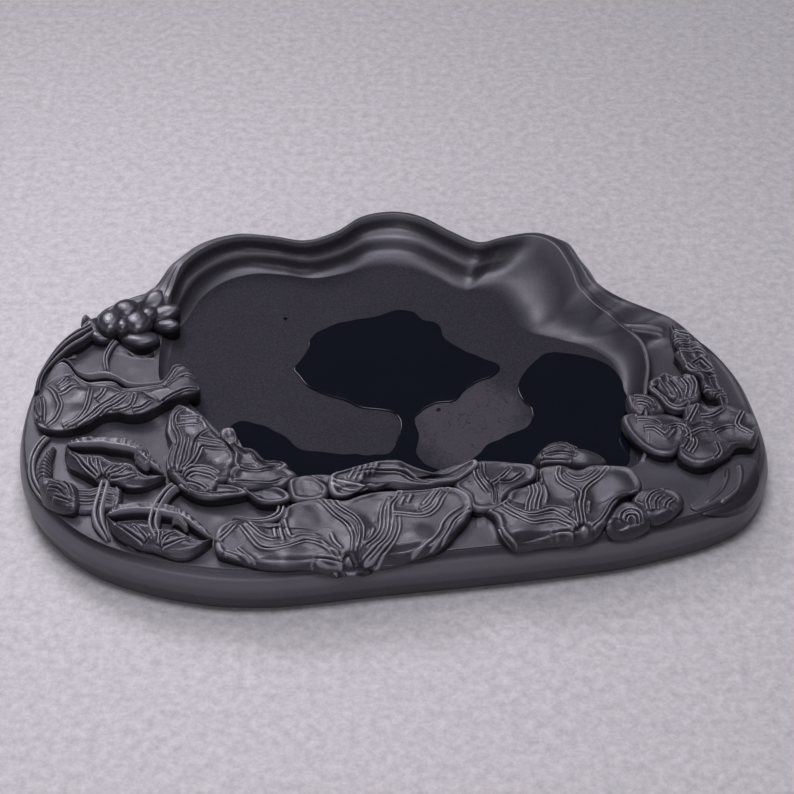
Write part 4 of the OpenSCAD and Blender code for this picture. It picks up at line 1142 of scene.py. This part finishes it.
upperPodStem = {
    "line": [
        (-94.2, -47.6), (-94.6, -53), (-95.2, -59), (-95.2, -63), (-94.2, -67), (-92.6, -70),
        (-90.8, -72.8)],
    "width": 4.6, "height": 4.2, "taper": [(0, 1), (0.6, 1), (1, 0.4)],
    "lows": [(0, 1), (0.6, 0.9), (1, 0.35)],
}
podBlade = {
    "line": [(-91.4, -49.6), (-90.2, -54), (-90.4, -59.6)], "width": 3.4, "height": 2.4, "long": 80,
    "taper": [(0, 0.8), (0.5, 1), (1, 0.5)],
}
lowerPodStem = {
    "line": [
        (-70.4, -50.4), (-73.4, -54.6), (-75.4, -60), (-76.4, -66), (-76.4, -70), (-75.2, -73),
        (-73.4, -76), (-71.4, -78.4)],
    "width": 4.4, "height": 6.4, "taper": [(0, 0.9), (0.6, 1), (1, 0.45)], "long": 240,
    "lows": [(0, 0.75), (0.25, 0.85), (0.45, 1), (0.7, 0.85), (1, 0.4)],
}
grassBlades = [
    {"line": [(-85, -73.6), (-83.4, -75.4), (-81.4, -76.8)], "width": 1.8, "height": 0.9, "long": 60,
     "taper": [(0, 0.7), (0.5, 1), (1, 0.3)]},
    {"line": [(-82, -74.6), (-80.4, -76.6), (-78.4, -78)], "width": 1.6, "height": 0.8, "long": 60,
     "taper": [(0, 0.7), (0.5, 1), (1, 0.3)]},
]

# The small leaves at the left edge
flutedLeaf = {
    "back": [(-112.8, -31.4), (-113, -35), (-113.2, -39), (-112.6, -43), (-112.8, -47)],
    "front": [(-114.8, -32), (-116.4, -36), (-117.4, -40), (-118, -44), (-116.6, -48)],
    "dome": [(0, 2.4), (0.5, 4.2), (1, 2.2)], "across": [(0, 2.4), (1, 2.2)], "open": [(0, 0), (1, 0)],
    "swell": [(0, 0.6), (0.5, 1), (1, 0.9)],
    "ribs": [{"hub": (-100, -50), "count": 74, "height": 0.9, "start": 1}], "long": 160, "wide": 50,
}
edgeLeaf = {
    "hub": (-108.6, -54.5),
    "outline": [
        (-115.6, -48.4), (-111.5, -48), (-107, -49.4), (-103.4, -52), (-102, -57), (-102.6, -61.8),
        (-106.6, -61.4), (-111, -58.6), (-114.4, -54.6)],
    "dome": [(0, 5), (0.5, 4.6), (1, 3.4)], "waves": (4, 0.4), "spokes": 300,
    "pairs": [
        [(-113, -50.4), (-109.6, -52), (-106.6, -54.4)], [(-112.6, -53), (-109, -54.6), (-106.4, -57.4)],
        [(-110, -57), (-107, -58.4), (-104, -59.6)], [(-108, -50.6), (-105.6, -53), (-104, -57)]],
}
rippleLeaf = {
    "hub": (-96, -55.4),
    "outline": [
        (-104.4, -50.4), (-99, -50.6), (-94, -49.8), (-89.6, -50), (-88.6, -54), (-89.6, -58.6),
        (-95, -60.4), (-101, -61), (-105, -59), (-105.4, -54.6)],
    "dome": [(0, 1.8), (0.7, 1.8), (1, 1.2)], "waves": (3, 0.2), "spokes": 260, "rings": 50, "lip": 0.2,
    "pairs": [
        [(-104.4, -52.4), (-99, -53), (-95, -52), (-90, -52)],
        [(-104.4, -54.8), (-99, -55.4), (-95, -54.4), (-90, -54.6)],
        [(-104, -57.2), (-99, -57.8), (-95, -56.8), (-90.6, -57.2)]],
}
edgeCurl = {
    "line": [(-112.4, -54), (-111.4, -56.4), (-109.4, -57.6)], "width": 2.6, "height": 2.2, "long": 60,
}
rimLeaf = {
    "back": [(-124.2, -5), (-124.2, 3), (-121.8, 10), (-118.2, 17), (-113.4, 23.4), (-107.6, 28.6)],
    "front": [(-121.4, -4), (-121, 2.6), (-117.8, 9), (-113.4, 14.6), (-109, 18.6), (-105.4, 23.6)],
    "dome": [(0, 3.6), (0.35, 5.4), (0.7, 4.6), (1, 3.2)], "across": [(0, 2.6), (1, 2)],
    "open": [(0, 0), (1, 0)], "swell": [(0, 0.6), (0.3, 0.9), (0.7, 1.1), (1, 1)], "flutes": 3.6,
    "fluteHeight": 0.75, "wide": 60,
}
rimHollow = {"line": [(-117, 12.6), (-114.6, 14.4), (-111, 15.4)], "width": 2.6, "height": 0.8, "long": 50}

# The open flower and its stem
def petal(middle, long, wide, turn, high, tilt=(0, 0)):
    return {"hub": middle, "outline": oval(middle, long, wide, turn), "waves": (2, 0.1), "lip": 0,
            "spokes": 130, "rings": 38, "sink": 1.5, "round": 0.5, "rough": 0.05, "grow": 0.3, "tilt": tilt,
            "dome": [(0, high), (0.35, high * 0.98), (0.65, high * 0.9), (0.85, high * 0.76),
                     (1, high * 0.5)]}


flowerOuter = [
    petal((-107.4, 30), 13, 7, 115, 5.4, (-0.22, 0)), petal((-101, 36.8), 13, 8.4, 25, 6.4, (-0.05, 0.2)),
    petal((-92.4, 40.6), 13, 9, 25, 7.0, (0, 0.22)), petal((-85.8, 39), 12, 9, 60, 6.8, (0.05, 0.2)),
    petal((-83, 34), 13, 7.6, 15, 5.8, (0.2, 0.1)), petal((-81, 29.6), 10, 6, -15, 4.2, (0.15, 0)),
    petal((-89.6, 22.2), 13.4, 9, -8, 4.6, (0, -0.2)), petal((-104.4, 24.4), 10, 6, -30, 4.0, (-0.1, -0.1)),
]
flowerInner = [
    petal((-100.2, 28), 12.4, 10, 85, 8.0), petal((-90.8, 28.4), 12.4, 11, 100, 7.6),
    petal((-94.9, 33.4), 11, 11, 90, 8.8), petal((-95.6, 26), 8, 6, 90, 7.2),
    petal((-87, 32.6), 8, 7, 60, 7.0),
]
flowerStem = {
    "line": [(-98, 22.6), (-100, 18), (-100.8, 12.5), (-99.6, 6.5)], "width": 2.6, "height": 2.2,
    "taper": [(0, 1.1), (1, 0.8)], "long": 90,
}

# The leaves and the bud on the right
narrowLeaf = {
    "back": [
        (102.6, 29.4), (108, 24), (111, 17), (113, 11), (114, 5), (115.3, -2), (116.8, -6), (117.6, -12)],
    "front": [
        (100.1, 28.3), (100.9, 19), (102, 15.5), (100.4, 12.7), (102, 8.5), (103.1, 4.3), (105.2, 1.5),
        (107.9, 0), (108.1, -5.6), (109.9, -9.3), (112.6, -10.4), (113.6, -13.9)],
    "dome": [(0, 3.4), (0.3, 4.4), (0.7, 4.6), (1, 3.6)],
    "across": [(0, 3), (0.14, 4.6), (0.3, 4.2), (0.42, 2.8), (0.56, 3.2), (0.7, 4.6), (0.88, 5), (1, 3.4)],
    "open": [(0, 0.2), (0.3, 0.7), (0.85, 0.7), (1, 0.3)], "swell": [(0, 0.8), (0.4, 1), (1, 0.9)],
    "pairs": [
        [(101, 19), (105.8, 19.7)], [(103, 16.2), (107, 17.4), (112, 15)],
        [(102, 13.4), (108, 13.8), (112.4, 11)],
        [(106.6, 7.8), (109.1, 9.9), (111.2, 6.3), (112.5, 3.6), (109.3, 4.3), (106.6, 7.8)],
        [(104, 6), (106, 3), (110, 2.6), (113.4, 1)], [(101.4, 24.6), (104.4, 23), (108, 21.8)],
        [(108.6, -6.4), (111.6, -7), (114.6, -6.4)], [(111.6, -10), (114, -9.4), (116.4, -9.6)]],
    "bumps": [(110, -4.6, 2.4, 0.8), (114, -10.6, 2.4, 0.7), (107.5, 14, 2.5, 0.8), (104.5, 24, 2.5, 0.8)],
    "long": 340, "round": 0.8,
}
lotusBud = {
    "grow": 0.8, "hub": (98.5, -7),
    "outline": [
        (90.2, -3.6), (91.3, -1.9), (93.8, 0.3), (95.7, 1.9), (98, 0.6), (100.8, 0), (103.6, 1.2),
        (106.4, -1), (107, -6), (106.6, -11), (104.5, -12.9), (102, -14.4), (100.4, -16.4), (97.7, -16.9),
        (95.1, -15), (93.4, -10.6), (91.1, -7.9)],
    "dome": [(0, 4.0), (0.5, 4.4), (0.85, 4.8), (1, 4.0)], "waves": (3, 0.3), "lip": 0.7, "spokes": 320,
    "pairs": [
        [(97, -1.6), (99.6, -6), (100.4, -10.4)], [(101.6, -1), (103.4, -5), (102.4, -10)],
        [(104.6, -1), (105.6, -5), (104.4, -10)],
        [(90.6, -4.6), (91.4, -7.4), (93.8, -10.4), (95.6, -14.4), (98, -16.2), (100.4, -15.8),
         (102.4, -13.6)]],
    "ridges": [[(94, -2), (97, -8)]],
    "cuts": [{"line": [(91.6, -4.4), (93, -6.6), (95.4, -9.6), (98.6, -11.4)], "wide": 1.1, "deep": 2.2}],
}
upperSideLeaves = [
    {"hub": (88.6, -12.6), "grow": 1.0,
     "outline": [
         (82.4, -10), (84.1, -8.9), (88.4, -8.3), (91, -9.6), (92.6, -12), (93.6, -16), (90, -17.4),
         (87.6, -15.6), (86, -17.6), (83.4, -15.4)],
     "dome": [(0, 4.4), (0.5, 4.4), (1, 3.6)], "waves": (3, 0.3), "spokes": 200, "rings": 44,
     "pairs": [[(84, -10.4), (88, -11), (91, -14)], [(84.6, -13), (87.6, -13.4), (90, -16)]]},
    {"hub": (92.4, -25), "grow": 1.2,
     "outline": [
         (80.4, -19.8), (84, -17.4), (87, -18), (89.6, -18.6), (94, -18), (98, -18.6), (100.6, -21.4),
         (100.2, -26), (98, -31), (94.4, -36), (88, -34.4), (82.6, -27)],
     "dome": [(0, 4.2), (0.5, 4.0), (1, 3.4)], "waves": (4, 0.4), "spokes": 300, "rings": 64,
     "pairs": [
         [(94.2, -25), (97.4, -23.4), (99.6, -24.4), (100.4, -27)], [(84, -20.6), (89, -21), (92.4, -23.4)],
         [(86.4, -25), (90, -25.4), (93.4, -29)]],
     "ridges": [[(93.6, -27.4), (95.4, -25)], [(95, -28), (96.8, -25.6)]]},
]
sideLeafLower = {
    "grow": 1.0, "hub": (109, -28),
    "outline": [
        (101.4, -15.4), (104.5, -13.9), (107.3, -13.6), (110.3, -15.4), (113.6, -14.6), (116.3, -14.4),
        (121, -16.6), (124.2, -19.6), (125, -22.8), (123.6, -28.4), (121.6, -32.6), (118.4, -33),
        (115.6, -33.6), (113.4, -36.6), (110.6, -39), (107.6, -41), (104, -42), (100.4, -40.8),
        (97.4, -37.6), (98.4, -33), (99.4, -28), (100.6, -22)],
    "dome": [(0, 4.8), (0.5, 4.8), (0.85, 4.8), (1, 4.2)], "waves": (6, 0.4), "spokes": 430, "rings": 90,
    "lip": 0.6,
    "pairs": [
        [(99.8, -31.4), (104.2, -27), (108, -25.8)], [(109.6, -27.7), (113.3, -25.4), (117, -25.1)],
        [(120.7, -17.4), (118, -24.4), (122.5, -28.3)], [(101.7, -22.4), (103.9, -17.9), (105.5, -14.6)],
        [(98.6, -36), (100.6, -32.6), (101, -28.6), (100.4, -25)],
        [(100.6, -37.6), (102.6, -34), (103, -30.6)], [(110, -32.2), (110.6, -37.3), (108.8, -40)],
        [(106, -20), (110, -19), (114, -16.4)]],
    "grooves": [[(102.6, -24.6), (106, -22.6), (110, -23.4)]],
    "bumps": [(105.6, -35.6, 4, 0.7), (112, -20.4, 3.4, -0.7), (121.4, -22.4, 2.4, -0.6)],
}

carving = [
    ("frontLeafLeft", [leafMesh(frontLeafLeft)], ["front_leaf_left"]),
    ("frontLeafFold", [leafMesh(frontLeafFold)], ["front_leaf_fold"]),
    ("frontLeafMiddle", [leafMesh(frontLeafMiddle)], ["front_leaf_middle"]),
    ("frontLeafRight", [leafMesh(frontLeafRight)], ["front_leaf_right"]),
    ("frontLeafEnd", [leafMesh(spec) for spec in endLeaves], ["front_leaf_end"]),
    ("basinLeaf", [leafMesh(basinLeaf)], ["basin_leaf"]),
    ("fanLeaf", [leafMesh(fanLeaf), leafMesh(fanFoot)], ["fan_leaf"]),
    ("fanLobes", [leafMesh(spec) for spec in fanLobes], ["fan_leaf_lobes"]),
    ("curledTendril", [stemMesh(curledTendril)], ["curled_tendril"]),
    ("furledLeaf", [shellMesh(furledLeaf)], ["furled_leaf"]),
    ("furledStem", [stemMesh(furledStem)], ["furled_leaf_stem"]),
    ("upperPod", [shellMesh(upperPod), stemMesh(podCurl)], ["upper_pod"]),
    ("upperPodStem", [stemMesh(spec) for spec in (upperPodStem, podBlade)], ["upper_pod_stem"]),
    ("lowerPod", [shellMesh(lowerPod), stemMesh(lowerPodCurl)], ["lower_pod"]),
    ("lowerPodStems", [stemMesh(spec) for spec in [lowerPodStem] + grassBlades], ["lower_pod_stem"]),
    ("flutedLeaf", [furlMesh(flutedLeaf), leafMesh(edgeLeaf), leafMesh(rippleLeaf), stemMesh(edgeCurl)],
     ["fluted_leaf"]),
    ("rimLeaf", [furlMesh(rimLeaf), stemMesh(rimHollow)], ["rim_leaf"]),
    ("narrowLeaf", [furlMesh(narrowLeaf)], ["narrow_leaf"]),
    ("lotusBud", [leafMesh(lotusBud)], ["lotus_bud"]),
    ("sideLeafUpper", [leafMesh(spec) for spec in upperSideLeaves], ["side_leaf_upper"]),
    ("sideLeafLower", [leafMesh(sideLeafLower)], ["side_leaf_lower"]),
    ("flowerStem", [stemMesh(flowerStem)], ["lotus_stem"]),
]
# The carved pieces take the lighter copy of the stone: painted light
for name, meshes, nodes in carving:
    finishPiece(name, meshes, stones["litCarvedStone"], nodes)
for name, petals, node in [("flowerOuter", flowerOuter, "lotus_outer_petals"),
                           ("flowerInner", flowerInner, "lotus_inner_petals")]:
    finishPiece(name, [leafMesh(spec) for spec in petals], stones["petalStone"], [node])


# A pale floor, soft lamps and the camera
floorSize, lampColour, roomColour = 6, (0.97, 0.935, 1.0), (0.95, 0.93, 1.0, 1)


def makeStage():
    bpy.ops.mesh.primitive_plane_add(size=floorSize, location=(0, 0, 0))
    floor = bpy.context.object
    floor.name = "floor"
    material, tree, shader = principled("paleFloor")
    place = tree.nodes.new("ShaderNodeTexCoord").outputs["Object"]
    mottle = noiseAt(tree, place, 300, 6, 0.75)
    mottle = mapRange(tree, mottle, 0.3, 0.7, 0, 1)
    colour = mixColour(tree, mottle, (0.33, 0.32, 0.335, 1), (0.52, 0.505, 0.525, 1))
    tree.links.new(colour, shader.inputs["Base Color"])
    shader.inputs["Roughness"].default_value = 0.9
    floor.data.materials.append(material)
    world = bpy.data.worlds.new("studio")
    bpy.context.scene.world = world
    world.use_nodes = True
    background = world.node_tree.nodes["Background"]
    background.inputs["Color"].default_value = roomColour
    background.inputs["Strength"].default_value = 0.1


lamps = [
    {"name": "topSoftbox", "at": (0.06, 0.4, 0.95), "size": (0.5, 0.4), "power": 2.9},
    {"name": "backSoftbox", "at": (-0.37, 0.62, 0.7), "size": (0.34, 0.32), "power": 0.31,
     "toward": (-0.13, -0.03, 0), "spread": 36},
    {"name": "leftSoftbox", "at": (-0.95, 0.2, 0.5), "size": (0.3, 0.5), "power": 0.4},
    {"name": "overheadFill", "at": (0.0, -0.13, 1.0), "size": (0.5, 0.3), "power": 6.2},
    {"name": "frontFill", "at": (-0.35, -0.95, 0.6), "size": (0.6, 0.4), "power": 2.2},
]


def makeLamps():
    for lamp in lamps:
        data = bpy.data.lights.new(lamp["name"], "AREA")
        data.shape = "RECTANGLE"
        data.size, data.size_y = lamp["size"]
        data.energy = lamp["power"]
        data.spread = math.radians(lamp.get("spread", 180))
        data.color = lampColour
        light = bpy.data.objects.new(lamp["name"], data)
        bpy.context.scene.collection.objects.link(light)
        light.location = lamp["at"]
        aim = Vector(lamp.get("toward", (0, 0, 0))) - light.location
        light.rotation_euler = aim.to_track_quat("-Z", "Y").to_euler()


photoCamera = {
    "target": (0.0015, 0.001, 0.012), "elevation": 44.0, "distance": 0.7, "lens": 90.0, "sensor": 36.0,
    "farthest": 20.0,
}


def makeCamera():
    data = bpy.data.cameras.new("camera")
    data.lens, data.sensor_width = photoCamera["lens"], photoCamera["sensor"]
    data.clip_end = photoCamera["farthest"]
    camera = bpy.data.objects.new("camera", data)
    bpy.context.scene.collection.objects.link(camera)
    rise = math.radians(photoCamera["elevation"])
    back = Vector((0, -math.cos(rise), math.sin(rise)))
    camera.location = Vector(photoCamera["target"]) + back * photoCamera["distance"]
    camera.rotation_euler = back.to_track_quat("Z", "Y").to_euler()
    bpy.context.scene.camera = camera


makeStage()
makeLamps()
makeCamera()
bpy.context.scene.view_settings.view_transform = "Standard"
print("stage, lamps and camera set")
